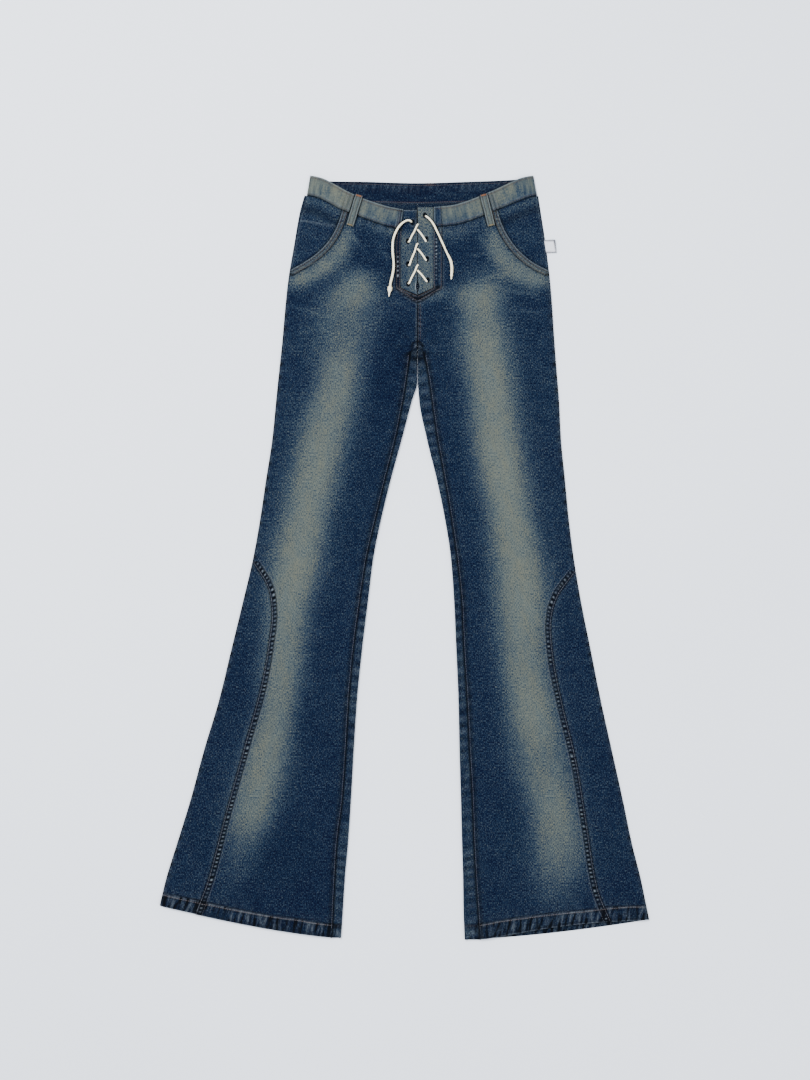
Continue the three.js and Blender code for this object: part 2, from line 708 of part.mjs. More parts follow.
for (const side of [right, left]) {
  addPiece(`back_${side.name}`, backPanel(side), insideDenim);
  addPiece(`front_${side.name}`, frontPanel(side), denimBlue);
  addPiece(`side_panel_${side.name}`, sidePanel(side), denimBlue);
  addPiece(`pocket_facing_${side.name}`, pocketFacing(side), denimBlue);
  addPiece(`waistband_${side.name}`, waistband(side), washedDenim);
  addPiece(`lace_panel_${side.name}`, lacePanel(side), washedDenim);
}
addPiece('waistband_back', backWaistband(), insideDenim);
addPiece('belt_loop_right', beltLoop(right, loopRight), washedDenim);
addPiece('belt_loop_left', beltLoop(left, loopLeft), washedDenim);

// Each crossing has a strand from the right eyelet over the slit, and one from the left eyelet to meet it
for (const crossing of crossings) {
  const eyelet = eyeletRows[crossing.row];
  const over = [
    [eyelet.rightX + 1, eyelet.rightY + 0.8, laceFloor],
    [mix(eyelet.rightX, crossing.overX, 0.5) - 0.6, mix(eyelet.rightY, crossing.overY, 0.5) + 1, laceFloor],
    [crossing.overX, crossing.overY, laceFloor],
  ];
  const under = [
    [eyelet.leftX - 1, eyelet.leftY + 1, laceFloor],
    [mix(eyelet.leftX, crossing.underX, 0.5) + 1.2, mix(eyelet.leftY, crossing.underY, 0.5) + 0.6, laceFloor],
    [crossing.underX, crossing.underY, laceFloor],
  ];
  addPiece(`lace_over_${crossing.row}`, cord(over, laceDiameter, 4), cordWhite, 0.8);
  addPiece(`lace_under_${crossing.row}`, cord(under, laceDiameter, 4), cordWhite, 0.8);
}
addPiece('lace_end_right', cord(laceEndRight, laceDiameter, 16), cordWhite, 0.8);
addPiece('lace_end_left', cord(laceEndLeft, laceDiameter, 13), cordWhite, 0.8);
addPiece('lace_knot_right', laceTip(laceEndRight, knotProfile), cordWhite, 0.8);
addPiece('lace_tip_left', laceTip(laceEndLeft, tiedProfile), cordWhite, 0.8);

const labelRoot = left.sideSeam(label.bottom) + seamGap;
const labelCorners = [
  [labelRoot, label.bottom],
  [labelRoot + label.width, label.bottom + 0.5],
  [labelRoot + label.width - 2, label.top + 0.5],
  [left.sideSeam(label.top) + seamGap, label.top],
];
addPiece('side_label', flatLayer(labelCorners, 0.4, label.thickness), labelWhite, 0.8);

export default garment;
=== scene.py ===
import functools
import math

import bpy
import numpy as np
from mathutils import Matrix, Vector
from mathutils.bvhtree import BVHTree


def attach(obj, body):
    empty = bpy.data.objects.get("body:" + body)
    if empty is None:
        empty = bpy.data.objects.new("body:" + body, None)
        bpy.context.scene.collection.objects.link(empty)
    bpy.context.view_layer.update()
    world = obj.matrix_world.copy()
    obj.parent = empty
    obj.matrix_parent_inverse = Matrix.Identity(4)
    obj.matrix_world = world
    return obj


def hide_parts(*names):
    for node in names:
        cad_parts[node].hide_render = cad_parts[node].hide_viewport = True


# Flared jeans with a laced front, laid flat on the floor with the front up.
# Metres. -X is the wearer's right leg, on the left of the picture, and +Y is the waist.
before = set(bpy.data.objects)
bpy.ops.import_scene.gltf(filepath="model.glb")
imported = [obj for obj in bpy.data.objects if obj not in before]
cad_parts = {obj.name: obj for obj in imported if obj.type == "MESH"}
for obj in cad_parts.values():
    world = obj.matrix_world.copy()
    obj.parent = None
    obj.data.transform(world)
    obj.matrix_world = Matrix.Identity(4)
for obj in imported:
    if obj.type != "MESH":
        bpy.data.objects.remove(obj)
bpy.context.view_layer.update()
bpy.ops.object.select_all(action="DESELECT")

# Camera straight above the garment
view = {
    "lens": 50.0,
    "sensor": 36.0,
    "floorHeight": 1.512,      # length of floor from the picture's top edge to its bottom edge
    "aim": (0.0007, 0.0245),
    "clothTop": 0.0045,
}
bpy.ops.object.camera_add(rotation=(0, 0, 0))
camera = bpy.context.object
camera.data.lens = view["lens"]
camera.data.sensor_width = view["sensor"]
camera.location = (*view["aim"], view["clothTop"] + view["floorHeight"] * view["lens"] / view["sensor"])
camera.data.clip_end = 50
bpy.context.scene.camera = camera
print("camera ready")

# Small helpers


def mix(a, b, t):
    return a + (b - a) * t


def smooth(t):
    c = np.clip(t, 0, 1)
    return c * c * (3 - 2 * c)


def bell(t):
    return np.exp(-t * t)


# A smooth line through the rows of a table, without overshoot between them
def through(at, values):
    order = np.argsort(at)
    s = np.array(at, float)[order]
    v = np.array(values, float)[order]
    rise = np.diff(v) / np.diff(s)
    total = rise[:-1] + rise[1:]
    same = rise[:-1] * rise[1:] > 0
    slope = np.empty(len(v))
    slope[0] = rise[0]
    slope[-1] = rise[-1]
    slope[1:-1] = np.where(same, 2 * rise[:-1] * rise[1:] / np.where(same, total, 1), 0)

    def line(value):
        value = np.asarray(value, float)
        i = np.clip(np.searchsorted(s, value, side="right") - 1, 0, len(s) - 2)
        span = s[i + 1] - s[i]
        t = (value - s[i]) / span
        c = np.clip(t, 0, 1)
        bend = slope[i] * (c**3 - 2 * c**2 + c) + slope[i + 1] * (c**3 - c**2)
        inside = v[i] * (2 * c**3 - 3 * c**2 + 1) + v[i + 1] * (3 * c**2 - 2 * c**3) + span * bend
        return inside + np.where(t < 0, slope[i], slope[i + 1]) * span * (t - c)

    return line


noiseSize = 64
noiseGrid = np.random.default_rng(11).random((noiseSize, noiseSize)) * 2 - 1


# Smooth noise from -1 to 1, one lattice step for each whole number of x and y
def cloudy(x, y, seed=0):
    x, y = np.broadcast_arrays(np.asarray(x, float), np.asarray(y, float))
    xi = np.floor(x).astype(int)
    yi = np.floor(y).astype(int)
    fx = smooth(x - xi)
    fy = smooth(y - yi)

    def corner(i, j):
        return noiseGrid[(xi + i + seed * 13) % noiseSize, (yi + j + seed * 29) % noiseSize]

    return mix(mix(corner(0, 0), corner(1, 0), fx), mix(corner(0, 1), corner(1, 1), fx), fy)


def wobble(t, seed=0):
    return cloudy(t, 0.37, seed)


# Distance from a drawn line and place along it, for arrays of points
def fromLine(line, x, y):
    line = np.asarray(line, float)
    a = line[:-1]
    d = line[1:] - a
    length = np.hypot(d[:, 0], d[:, 1])
    start = np.concatenate([[0], np.cumsum(length)[:-1]])
    flatX = x.ravel()
    flatY = y.ravel()
    near = np.full(flatX.shape, np.inf)
    along = np.zeros(flatX.shape)
    for k in range(len(a)):
        t = np.clip(((flatX - a[k, 0]) * d[k, 0] + (flatY - a[k, 1]) * d[k, 1]) / length[k] ** 2, 0, 1)
        gap = np.hypot(flatX - a[k, 0] - t * d[k, 0], flatY - a[k, 1] - t * d[k, 1])
        closer = gap < near
        near[closer] = gap[closer]
        along[closer] = start[k] + t[closer] * length[k]
    return near.reshape(x.shape), along.reshape(x.shape)


# The same line moved sideways, to its left when the distance is positive
def beside(line, distance):
    line = np.asarray(line, float)
    d = np.gradient(line, axis=0)
    d /= np.hypot(d[:, 0], d[:, 1])[:, None]
    return line + distance * np.stack([-d[:, 1], d[:, 0]], 1)


# Cloth, its layers and the lines that both legs share
cloth = {
    "wall": 0.0012,
    "rest": 0.0033,            # underside of the front above the floor
    "edge": 0.0015,            # underside of the front at the side seam
    "roll": 0.008,
    "fell": 0.0007,
    "step": 0.0009,            # width over which a felled or hemmed edge steps down
    "round": 0.0008,
    "band": 0.0020,
    "facingDrop": 0.0009,
    "seamGap": 0.0003,
}
lines = {
    "centreX": 0.0182,
    "crotchY": 0.296,
    "shoulderY": 0.3773,
    "pointY": 0.3675,
    "outerPointY": 0.3570,     # point of the stitched band below the lace panel
    "outerShoulderY": 0.3752,
    "hemStitch": 0.0015,       # from the hem band's upper edge down to its stitches
    "fellWidth": 0.0082,
    "panelFell": 0.0070,
    "centreFell": 0.0046,
}
crotch = {"x": 0.0178, "y": 0.2945}     # middle of the small puckered round where the seams meet

# Heights at which the pale stripe down each leg is stated
fadeY = [0.4085, 0.3885, 0.3675, 0.3395, 0.3045, 0.2625, 0.2065, 0.1365, 0.0665, -0.0035, -0.0735,
         -0.1435, -0.2135, -0.2835, -0.3535, -0.4095, -0.4655, -0.5]

# Lines of each half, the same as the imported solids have, and how far its parts are washed and worn
halves = {
    "right": {
        "outward": -1,
        "hipY": [0.536, 0.508, 0.470, 0.430, 0.375],
        "hipSide": [-0.132, -0.137, -0.147, -0.1545, -0.1645],
        "legY": [0.296, 0.245, 0.220, 0.165, 0.110, 0.050, 0, -0.060, -0.130, -0.200, -0.270, -0.340,
                 -0.400, -0.450, -0.490, -0.536],
        "legSide": [-0.172, -0.1775, -0.180, -0.1855, -0.194, -0.203, -0.212, -0.226, -0.243, -0.260,
                    -0.281, -0.300, -0.3185, -0.334, -0.3435, -0.353],
        "fold": [0.018, 0.0176, 0.0105, -0.004, -0.019, -0.0335, -0.0435, -0.051, -0.0595, -0.0665,
                 -0.071, -0.075, -0.079, -0.0835, -0.086, -0.089],
        "inseam": [0.0085, 0.0022, -0.002, -0.013, -0.027, -0.0415, -0.053, -0.0625, -0.0715, -0.078,
                   -0.082, -0.087, -0.0945, -0.0975, -0.0995, -0.1015],
        "panelY": [-0.0055, -0.022, -0.037, -0.054, -0.080, -0.118, -0.169, -0.265, -0.367, -0.450, -0.500],
        "panelX": [-0.2132, -0.202, -0.193, -0.1875, -0.1854, -0.1895, -0.198, -0.224, -0.2525, -0.2745,
                   -0.293],
        "seamX": [-0.1368, -0.121, -0.087, -0.0644, -0.030, -0.0049],
        "seamY": [0.5078, 0.5036, 0.4864, 0.4781, 0.4656, 0.4587],
        "topX": [-0.1321, -0.1155, -0.079, -0.0553, -0.0203, -0.0018],
        "topY": [0.5353, 0.5313, 0.5124, 0.5019, 0.4909, 0.4874],
        "scoop": [(-0.0872, 0.486), (-0.098, 0.440), (-0.124, 0.421), (-0.160, 0.4025)],
        "flyBand": 0.0072,
        "hemX": [0.090, 0.120, 0.150, 0.200, 0.250, 0.320, 0.350],       # turned hem's depth across the leg
        "hemDeep": [0.0186, 0.0192, 0.0205, 0.0192, 0.0190, 0.0180, 0.0178],
        "lacePanelTop": 0.4866,
        "endSeam": 0.0082,         # from the waistband's end to the seam beside the lacing
        "slit": (0.0008, 0.0014, 2.4),     # at the slit's foot: half width of the painted shade in the gap, place and wear of its rim
        "ticksTop": 0.430,
        "flyDark": 0.24,
        "flyWash": 0.0,
        "hemWear": 0.42,
        "pocketWash": 0.34,
        "panelWash": 0.81,
        "facingWash": 0.08,
        "laceWash": 0.42,
        "fadeX": [-0.066, -0.0665, -0.0707, -0.0805, -0.0847, -0.0903, -0.1043, -0.1214, -0.1372, -0.1515,
                  -0.1659, -0.1715, -0.1799, -0.1967, -0.2135, -0.2261, -0.2429, -0.25],
        "fadeHalf": [0.02, 0.0225, 0.0336, 0.0406, 0.037, 0.028, 0.0316, 0.0322, 0.0308, 0.0326, 0.0294,
                     0.028, 0.0245, 0.03, 0.0301, 0.0245, 0.0196, 0.018],
        "fadePeak": [0.1, 0.70, 0.74, 0.55, 0.53, 0.80, 0.86, 0.92, 0.93, 0.97, 0.91, 0.83, 0.81, 0.87, 0.85,
                     0.38, 0.13, 0],
    },
    "left": {
        "outward": 1,
        "hipY": [0.536, 0.508, 0.470, 0.430, 0.375],
        "hipSide": [0.1803, 0.1855, 0.1915, 0.198, 0.205],
        "legY": [0.296, 0.245, 0.220, 0.165, 0.110, 0.050, 0, -0.060, -0.130, -0.200, -0.270, -0.340,
                 -0.400, -0.450, -0.500, -0.536],
        "legSide": [0.2105, 0.2145, 0.2165, 0.2193, 0.2247, 0.2306, 0.237, 0.247, 0.261, 0.275, 0.2905,
                    0.306, 0.3185, 0.331, 0.3414, 0.3489],
        "fold": [0.0184, 0.0189, 0.0205, 0.0315, 0.045, 0.0573, 0.0648, 0.0693, 0.0725, 0.0755, 0.077,
                 0.079, 0.0805, 0.082, 0.0828, 0.0843],
        "inseam": [0.0263, 0.035, 0.0385, 0.0463, 0.0565, 0.0664, 0.0735, 0.080, 0.0832, 0.0876, 0.091,
                   0.095, 0.0973, 0.0998, 0.1033, 0.105],
        "panelY": [-0.019, -0.037, -0.054, -0.073, -0.097, -0.139, -0.199, -0.289, -0.367, -0.461, -0.515],
        "panelX": [0.2402, 0.226, 0.2145, 0.2075, 0.2045, 0.208, 0.2195, 0.241, 0.254, 0.2695, 0.291],
        "seamX": [0.1856, 0.1701, 0.1301, 0.0903, 0.0693, 0.041],
        "seamY": [0.5075, 0.5029, 0.4868, 0.4711, 0.4656, 0.4627],
        "topX": [0.1804, 0.1645, 0.1211, 0.0833, 0.0651, 0.041],
        "topY": [0.5353, 0.5319, 0.5127, 0.4978, 0.4931, 0.4909],
        "scoop": [(0.130, 0.487), (0.139, 0.447), (0.166, 0.415), (0.2015, 0.4025)],
        "flyBand": 0.0125,
        "hemX": [0.085, 0.115, 0.130, 0.190, 0.250, 0.275, 0.316, 0.345],
        "hemDeep": [0.0205, 0.0220, 0.0228, 0.0200, 0.0182, 0.0196, 0.0210, 0.0195],
        "lacePanelTop": 0.4904,
        "endSeam": 0.0120,
        "slit": (0.0016, 0.0030, 0.6),
        "ticksTop": 0.452,
        "flyDark": 0.05,
        "flyWash": 0.18,
        "hemWear": 0.8,
        "pocketWash": 0.36,
        "panelWash": 0.70,
        "facingWash": 0.05,
        "laceWash": 0.48,
        "fadeX": [0.109, 0.11, 0.105, 0.1092, 0.112, 0.1183, 0.1246, 0.1337, 0.1463, 0.1582, 0.1645,
                  0.1673, 0.1792, 0.1925, 0.2093, 0.2177, 0.2149, 0.214],
        "fadeHalf": [0.024, 0.026, 0.0315, 0.0287, 0.0322, 0.0308, 0.0301, 0.0308, 0.0287, 0.0322, 0.0332,
                     0.0322, 0.0319, 0.0364, 0.0308, 0.035, 0.028, 0.024],
        "fadePeak": [0.08, 0.47, 0.83, 0.79, 0.87, 0.94, 0.97, 1.04, 1.00, 0.99, 0.98, 0.85, 0.96, 0.69, 0.85,
                     0.7, 0.32, 0.05],
    },
}
waistBack = {
    "x": [-0.136, -0.104, -0.060, 0.018, 0.090, 0.150, 0.1845],
    "seam": [0.507, 0.500, 0.4975, 0.4955, 0.4975, 0.5005, 0.5065],
    "top": [0.5346, 0.5275, 0.527, 0.525, 0.527, 0.5295, 0.5346],
    "slant": 0.0042,
}

# Soft creases and swells: middle, length, direction in degrees, width and height
creases = [
    (-0.125, 0.330, 0.090, 18, 0.009, 0.0009),
    (-0.112, 0.300, 0.100, 12, 0.010, 0.0007),
    (-0.100, 0.372, 0.080, 26, 0.008, 0.0007),
    (0.155, 0.352, 0.100, -16, 0.010, 0.0009),
    (0.140, 0.318, 0.090, -10, 0.009, 0.0007),
    (0.165, 0.385, 0.070, -28, 0.008, 0.0005),
    (-0.025, 0.268, 0.090, 38, 0.008, 0.0008),
    (0.062, 0.280, 0.090, -30, 0.008, 0.0009),
    (-0.060, 0.215, 0.110, 62, 0.012, 0.0005),
    (0.095, 0.200, 0.110, -64, 0.012, 0.0005),
    (-0.120, 0.060, 0.120, 14, 0.014, 0.0006),
    (0.150, 0.040, 0.120, -12, 0.014, 0.0006),
    (-0.140, -0.150, 0.260, 78, 0.022, 0.0006),
    (0.165, -0.170, 0.260, -84, 0.022, 0.0006),
    (-0.190, -0.360, 0.240, 76, 0.024, 0.0008),
    (0.195, -0.370, 0.240, -80, 0.024, 0.0008),
]

# Pale brushed places beside the stripes: middle, half length, half width, direction, strength
halos = {
    "right": [
        (-0.083, 0.446, 0.022, 0.010, 70, 0.62),
        (-0.093, 0.427, 0.020, 0.015, 56, 0.58),
        (-0.115, 0.407, 0.028, 0.015, 34, 0.74),
        (-0.146, 0.390, 0.022, 0.011, 20, 0.74),
        (-0.070, 0.446, 0.014, 0.0035, -48, 0.30),
        (-0.090, 0.385, 0.022, 0.012, 12, 0.10),
        (-0.020, 0.458, 0.030, 0.008, -12, 0.22),
        (-0.028, 0.425, 0.020, 0.0045, -52, 0.16),
        (-0.132, 0.345, 0.026, 0.0026, -16, 0.34),
        (-0.128, 0.318, 0.034, 0.0025, 10, 0.14),
        (-0.112, 0.366, 0.022, 0.0030, 22, 0.16),
        (-0.008, 0.357, 0.018, 0.006, -24, 0.22),
        (-0.020, 0.285, 0.022, 0.004, 62, 0.12),
    ],
    "left": [
        (0.127, 0.443, 0.024, 0.0125, -72, 0.68),
        (0.138, 0.420, 0.022, 0.016, -58, 0.60),
        (0.157, 0.402, 0.030, 0.016, -32, 0.70),
        (0.184, 0.391, 0.024, 0.015, -14, 0.68),
        (0.112, 0.442, 0.018, 0.008, -60, 0.18),
        (0.126, 0.3935, 0.020, 0.0028, 9, 0.34),
        (0.100, 0.4235, 0.020, 0.0030, 9, 0.20),
        (0.070, 0.452, 0.026, 0.010, 10, 0.26),
        (0.158, 0.372, 0.034, 0.0028, -14, 0.22),
        (0.176, 0.345, 0.026, 0.0030, -8, 0.18),
        (0.044, 0.365, 0.020, 0.007, 26, 0.38),
        (0.068, 0.262, 0.030, 0.0035, -38, 0.12),
    ],
}


# One half's tables as lines that give a place for a height
def makeHalf(name):
    rows = halves[name]
    out = rows["outward"]
    at = np.linspace(0, 1, len(rows["seamX"]))
    t = np.linspace(0, 1, 240)[:, None]
    p = np.array(rows["scoop"])
    curve = p[0] * (1 - t) ** 3 + p[1] * 3 * t * (1 - t) ** 2 + p[2] * 3 * t**2 * (1 - t) + p[3] * t**3
    half = {
        **rows,
        "name": name,
        "label": name.capitalize(),
        "out": out,
        "side": through(rows["hipY"] + rows["legY"], rows["hipSide"] + rows["legSide"]),
        "fold": through(rows["legY"], rows["fold"]),
        "inseam": through(rows["legY"], rows["inseam"]),
        "panelSeam": through(rows["panelY"], rows["panelX"]),
        "panelTop": rows["panelY"][0],
        "panelHem": rows["panelY"][-1],
        "scoopLine": curve,
        "scoop": lambda y: np.interp(y, curve[::-1, 1], curve[::-1, 0]),
        "scoopTopX": rows["scoop"][0][0],
        "scoopLow": rows["scoop"][3][1],
        "waistSeam": through(rows["seamX"], rows["seamY"]),
        "band": {key: through(at, rows[key]) for key in ("seamX", "seamY", "topX", "topY")},
        "hemDepth": lambda x: np.interp(np.abs(x), rows["hemX"], rows["hemDeep"]),
        "fadeX": through(fadeY, rows["fadeX"]),
        "fadeHalf": through(fadeY, rows["fadeHalf"]),
        "fadePeak": through(fadeY, rows["fadePeak"]),
        "halos": halos[name],
    }
    if out < 0:
        half["opening"] = lambda y: mix(-0.0053, -0.0016, smooth((y - 0.430) / 0.060))
        half["hemBack"] = lambda x: -0.533 + 0.045 * np.clip((-0.089 - x) / 0.253, 0, 1) ** 1.4
        half["hemFront"] = half["hemBack"]
    else:
        half["opening"] = lambda y: 0.0404 + 0 * y
        half["hemBack"] = lambda x: -0.5355 + 0.028 * np.clip((x - 0.084) / 0.260, 0, 1) ** 1.5
        half["hemFront"] = lambda x: half["hemBack"](x) + 0.0085 * np.sin(
            np.pi * np.clip(((x - 0.084) / 0.260 - 0.12) / 0.88, 0, 1))
    return half


right = makeHalf("right")
left = makeHalf("left")


# Height of the front's underside, before the small puckers
def underside(half, x, y):
    swell = np.zeros(np.broadcast(x, y).shape)
    for cx, cy, length, turn, width, height in creases:
        c = math.cos(math.radians(turn))
        s = math.sin(math.radians(turn))
        along = ((x - cx) * c + (y - cy) * s) / (length / 2)
        across = ((y - cy) * c - (x - cx) * s) / width
        swell = swell + height * np.clip(1 - along * along, 0, 1) ** 2 * bell(across)
    fromSide = half["out"] * (half["side"](y) - x)
    return mix(cloth["edge"], cloth["rest"] + swell, smooth(fromSide / cloth["roll"]))


# How far the dye is brushed away on the front, 0 for raw indigo and 1 for the palest stripe
def washAt(half, x, y):
    fromStripe = (x - half["fadeX"](y)) / half["fadeHalf"](y)
    stripe = np.clip(half["fadePeak"](y), 0, 2) * np.exp(-0.69 * np.abs(fromStripe) ** 2.5)
    thigh = smooth((y + 0.12) / 0.15) * smooth((0.36 - y) / 0.08)
    outside = smooth((half["out"] * fromStripe - 0.6) / 1.4) * thigh
    keep = 1 - np.clip(stripe, 0, 1.08)
    for cx, cy, length, width, turn, strength in half["halos"]:
        c = math.cos(math.radians(turn))
        s = math.sin(math.radians(turn))
        along = ((x - cx) * c + (y - cy) * s) / length
        across = ((y - cy) * c - (x - cx) * s) / width
        keep = keep * (1 - strength * bell(along) * bell(across))
    return 1 - keep + 0.06 * outside


# Gathers beside seams: length of a wave, height, distance from the seam and reach, lean, place in the
# noise, and how pale the ridges and how dark the hollows are
puckerKeys = ("wave", "height", "middle", "reach", "lean", "seed", "wear", "dark")
puckerRows = {
    "panel": (0.0060, 0.00034, 0.0046, 0.0022, 0.25, 1, 3.4, 3.0),
    "panelFold": (0.0064, 0, 0.0002, 0.0010, 0.25, 13, 1.0, 1.2),
    "panelSide": (0.0060, 0.00034, 0.0046, 0.0022, 0.25, 1, 0.32, 0.5),
    "pocket": (0.0062, 0.00012, 0.004, 0.005, 0.3, 2, 0.30, 0.40),
    "hem": (0.0165, 0.00046, 0.008, 0.0110, 0.10, 3, 0.30, 0.40),
    "aboveHem": (0.012, 0.00018, 0.004, 0.006, 0.10, 3, 0.12, 0.18),
    "hemBack": (0.0165, 0, 0.008, 0.0110, 0.10, 3, 0.25, 0),
    "hemFold": (0.008, 0, 0.008, 0.0110, 0.10, 15, 0.2, 0),
    "inseam": (0.017, 0.00022, 0, 0.008, 0.2, 4, 0.18, 0.42),
    "strip": (0.0165, 0.0004, 0.009, 0.007, 0.2, 6, 0.30, 0.75),
    "flyRight": (0.0070, 0.00022, 0.0040, 0.0010, 0.2, 7, 5.5, 1.6),
    "flyLeft": (0.0050, 0.00022, 0.0040, 0.0010, 0.2, 7, 5.5, 1.6),
    "centre": (0.0068, 0.00020, 0.003, 0.004, 0.3, 8, 0.75, 0.7),
    "waist": (0.0120, 0.00022, 0.002, 0.008, 0.25, 9, 0.20, 0.35),
    "band": (0.0120, 0.00022, 0.002, 0.008, 0.25, 9, 0.25, 0.30),
    "bandTop": (0.009, 0.00018, 0.002, 0.008, 0.25, 23, 0, 0.18),
    "edge": (0.0170, 0.00014, 0, 0.0045, 0.3, 17, 0.16, 1.30),
    "backTop": (0.0088, 0.00030, 0.006, 0.006, 0.25, 10, 0.75, 0.6),
    "backFine": (0.0047, 0, 0.009, 0.006, 0.25, 33, 0.35, 0),
}
puckers = {name: dict(zip(puckerKeys, row)) for name, row in puckerRows.items()}

# Soft lines beside seams and edges: painted field, strength, distance from the seam and half width
seamPaint = {
    "panel": [("dark", 0.70, lines["panelFell"] + 0.0001, 0.0008), ("wear", 0.20, 0, 0.0007),
              ("wear", 0.14, lines["panelFell"] + 0.0018, 0.0008), ("dark", 0.60, 0.0022, 0.0007)],
    "panelSide": [("dark", 0.78, 0, 0.0014), ("wear", 0.07, 0.0040, 0.0010)],
    "pocket": [("wear", 0.85, 0, 0.0010), ("dark", 0.85, 0.0026, 0.0007), ("dark", 0.40, 0.0064, 0.0006),
               ("dark", 0.95, lines["fellWidth"] + 0.0001, 0.0008)],
    "flyOuter": [("rust", 0.15, 0.0016, 0.0008), ("dark", 0.62, 0, 0.0008), ("wear", 0.22, -0.0018, 0.0009)],
    "flyBottom": [("dark", 0.33, 0, 0.0008)],
    "flyUpright": [("wash", -0.30, 0.0042, 0.0020), ("dark", 0.45, 0.0066, 0.0007)],
    "flyInner": [("dark", 0.45, 0.0026, 0.0006)],
    "flyRim": [("wear", 0.42, 0, 0.0007)],
    "centreLeft": [("dark", 0.35, 0.0024, 0.0006), ("dark", 0.75, 0, 0.0012)],
    "centreRight": [("wear", 0.38, 0.0018, 0.0007), ("dark", 0.75, 0, 0.0012)],
    "crotch": [("dark", 0.80, 0.0078, 0.0016), ("dark", 0.35, 0, 0.006), ("wear", 0.45, 0.0030, 0.0012)],
    "inseam": [("dark", 0.75, 0, 0.0009), ("dark", 0.42, 0.0036, 0.0028)],
    "inseamFold": [("dark", 0.85, 0, 0.0020)],
    "hem": [("dark", 0.50, 0.0026, 0.0011)],
    "hemStitch": [("dark", 0.70, 0.0006, 0.0009), ("dark", 0.35, -0.0036, 0.0010),
                  ("rust", 0.20, -lines["hemStitch"], 0.0012)],
    "hemStitchFold": [("dark", 0.6, 0.0006, 0.0010), ("rust", 0.30, -lines["hemStitch"], 0.0012)],
    "belowWaist": [("dark", 0.70, 0, 0.0012), ("wash", 0.16, 0.007, 0.006)],
    "side": [("dark", 0.50, 0, 0.0012)],
    "sideRim": [("wear", 0.10, 0.0022, 0.0010)],
    "facingTop": [("dark", 0.5, 0, 0.0014), ("wash", 0.22, 0.007, 0.005), ("dark", 0.35, 0.019, 0.006)],
    "facingSide": [("wear", 0.20, 0.0012, 0.0010)],
    "bandSeam": [("wash", -0.22, 0, 0.004), ("dark", 0.85, 0, 0.0009), ("dark", 0.28, 0.0022, 0.0007),
                 ("wear", 0.20, 0.0042, 0.0012)],
    "bandSeamLeft": [("wash", -0.16, 0.004, 0.006)],
    "bandTop": [("dark", 0.30, 0.0030, 0.0007), ("wear", 0.55, 0.0008, 0.0011),
                ("rust", 0.18, 0.003, 0.0016)],
    "bandTopCorner": [("dark", 0.55, 0.0026, 0.0007)],
    "bandEnd": [("wear", 0.55, 0.0016, 0.0010), ("dark", 0.45, 0.0034, 0.0007)],
    "bandFold": [("wash", -0.30, 0.0052, 0.0022), ("rust", 0.34, 0.0052, 0.0022)],
    "bandFoldDark": [("dark", 0.55, 0.0031, 0.0007)],
    "bandFoldPale": [("wear", 0.70, 0.0096, 0.0007)],
    "backTop": [("dark", 0.30, 0.0012, 0.0012)],
    "backSeam": [("wear", 0.22, 0.0010, 0.0008), ("rust", 0.10, 0.0020, 0.0010)],
    "join": [("wear", 0.30, 0, 0.0009), ("dark", 0.42, 0.0022, 0.0006)],
    "endSeam": [("dark", 0.62, 0, 0.0008), ("wear", 0.25, -0.0018, 0.0009)],
    "eyelet": [("dark", 1.3, 0, 0.0009), ("wear", 0.22, 0.0019, 0.0008)],
    "slit": [("wear", 0.28, 0.0016, 0.0009)],
    "loopSide": [("dark", 0.62, 0.0024, 0.0007), ("wear", 0.55, 0.0009, 0.0008)],
    "loopEnd": [("dark", 0.40, 0, 0.0008), ("rust", 0.25, 0.002, 0.002)],
    "loopTop": [("rust", 0.7, 0.0020, 0.0016)],
}


# Gathered cloth beside a row of stitches, as a ridge from -1 to 1 that dies away from the seam
def pucker(key, along, distance):
    seam = puckers[key]
    turns = along / seam["wave"] + 0.5 * wobble(along / (seam["wave"] * 2.1), seam["seed"])
    uneven = 0.54 + 0.46 * wobble(along / (seam["wave"] * 1.6), seam["seed"] + 5)
    ridge = np.sin(2 * np.pi * (turns + seam["lean"] * distance / seam["wave"]))
    return ridge * uneven * bell((distance - seam["middle"]) / seam["reach"])


# Painted fields that the denim material reads at each point of a piece; dark holds darker dye and seams as
# well as painted shade and shadow
fieldNames = ("wash", "wear", "dark", "rust", "rib")


def blankFields(shape):
    return {key: np.zeros(shape) for key in fieldNames}


def paint(fields, key, distance, inside=1.0):
    for field, strength, at, width in seamPaint[key]:
        fields[field] += strength * bell((distance - at) / width) * inside


# Gathers are worn pale on their ridges and dark in their hollows
def gather(key, fields, top, along, distance, inside=1.0, paleEdge=1.4, darkEdge=1.2):
    seam = puckers[key]
    ridge = pucker(key, along, distance) * inside
    fields["wear"] += seam["wear"] * np.clip(ridge, 0, 1) ** paleEdge
    fields["dark"] += seam["dark"] * np.clip(-ridge, 0, 1) ** darkEdge
    return top + seam["height"] * ridge


# Turned and stitched hem, roped by its shrinkage into uneven blocks
def hemmed(half, fields, top, x, fromHem, seed):
    fromStitch = fromHem - half["hemDepth"](x)
    inBand = smooth(-fromStitch / cloth["step"])
    top = top + cloth["fell"] * inBand
    drift = x + 0.0016 * wobble(x / 0.021, 71 + seed)
    top = gather("hem", fields, top, drift, fromHem, inBand)
    fields["rib"] += inBand
    fields["wear"] += half["hemWear"] * bell(fromHem / 0.0010)
    fields["dark"] += 0.06 * inBand
    paint(fields, "hem", fromHem)
    paint(fields, "hemStitch", fromStitch)
    fields["wear"] += 0.60 * bell((fromStitch + 0.0016) / 0.0011) * (0.75 + 0.25 * wobble(x / 0.004, 75))
    return gather("aboveHem", fields, top, x, fromStitch, 1 - inBand, 1, 1)


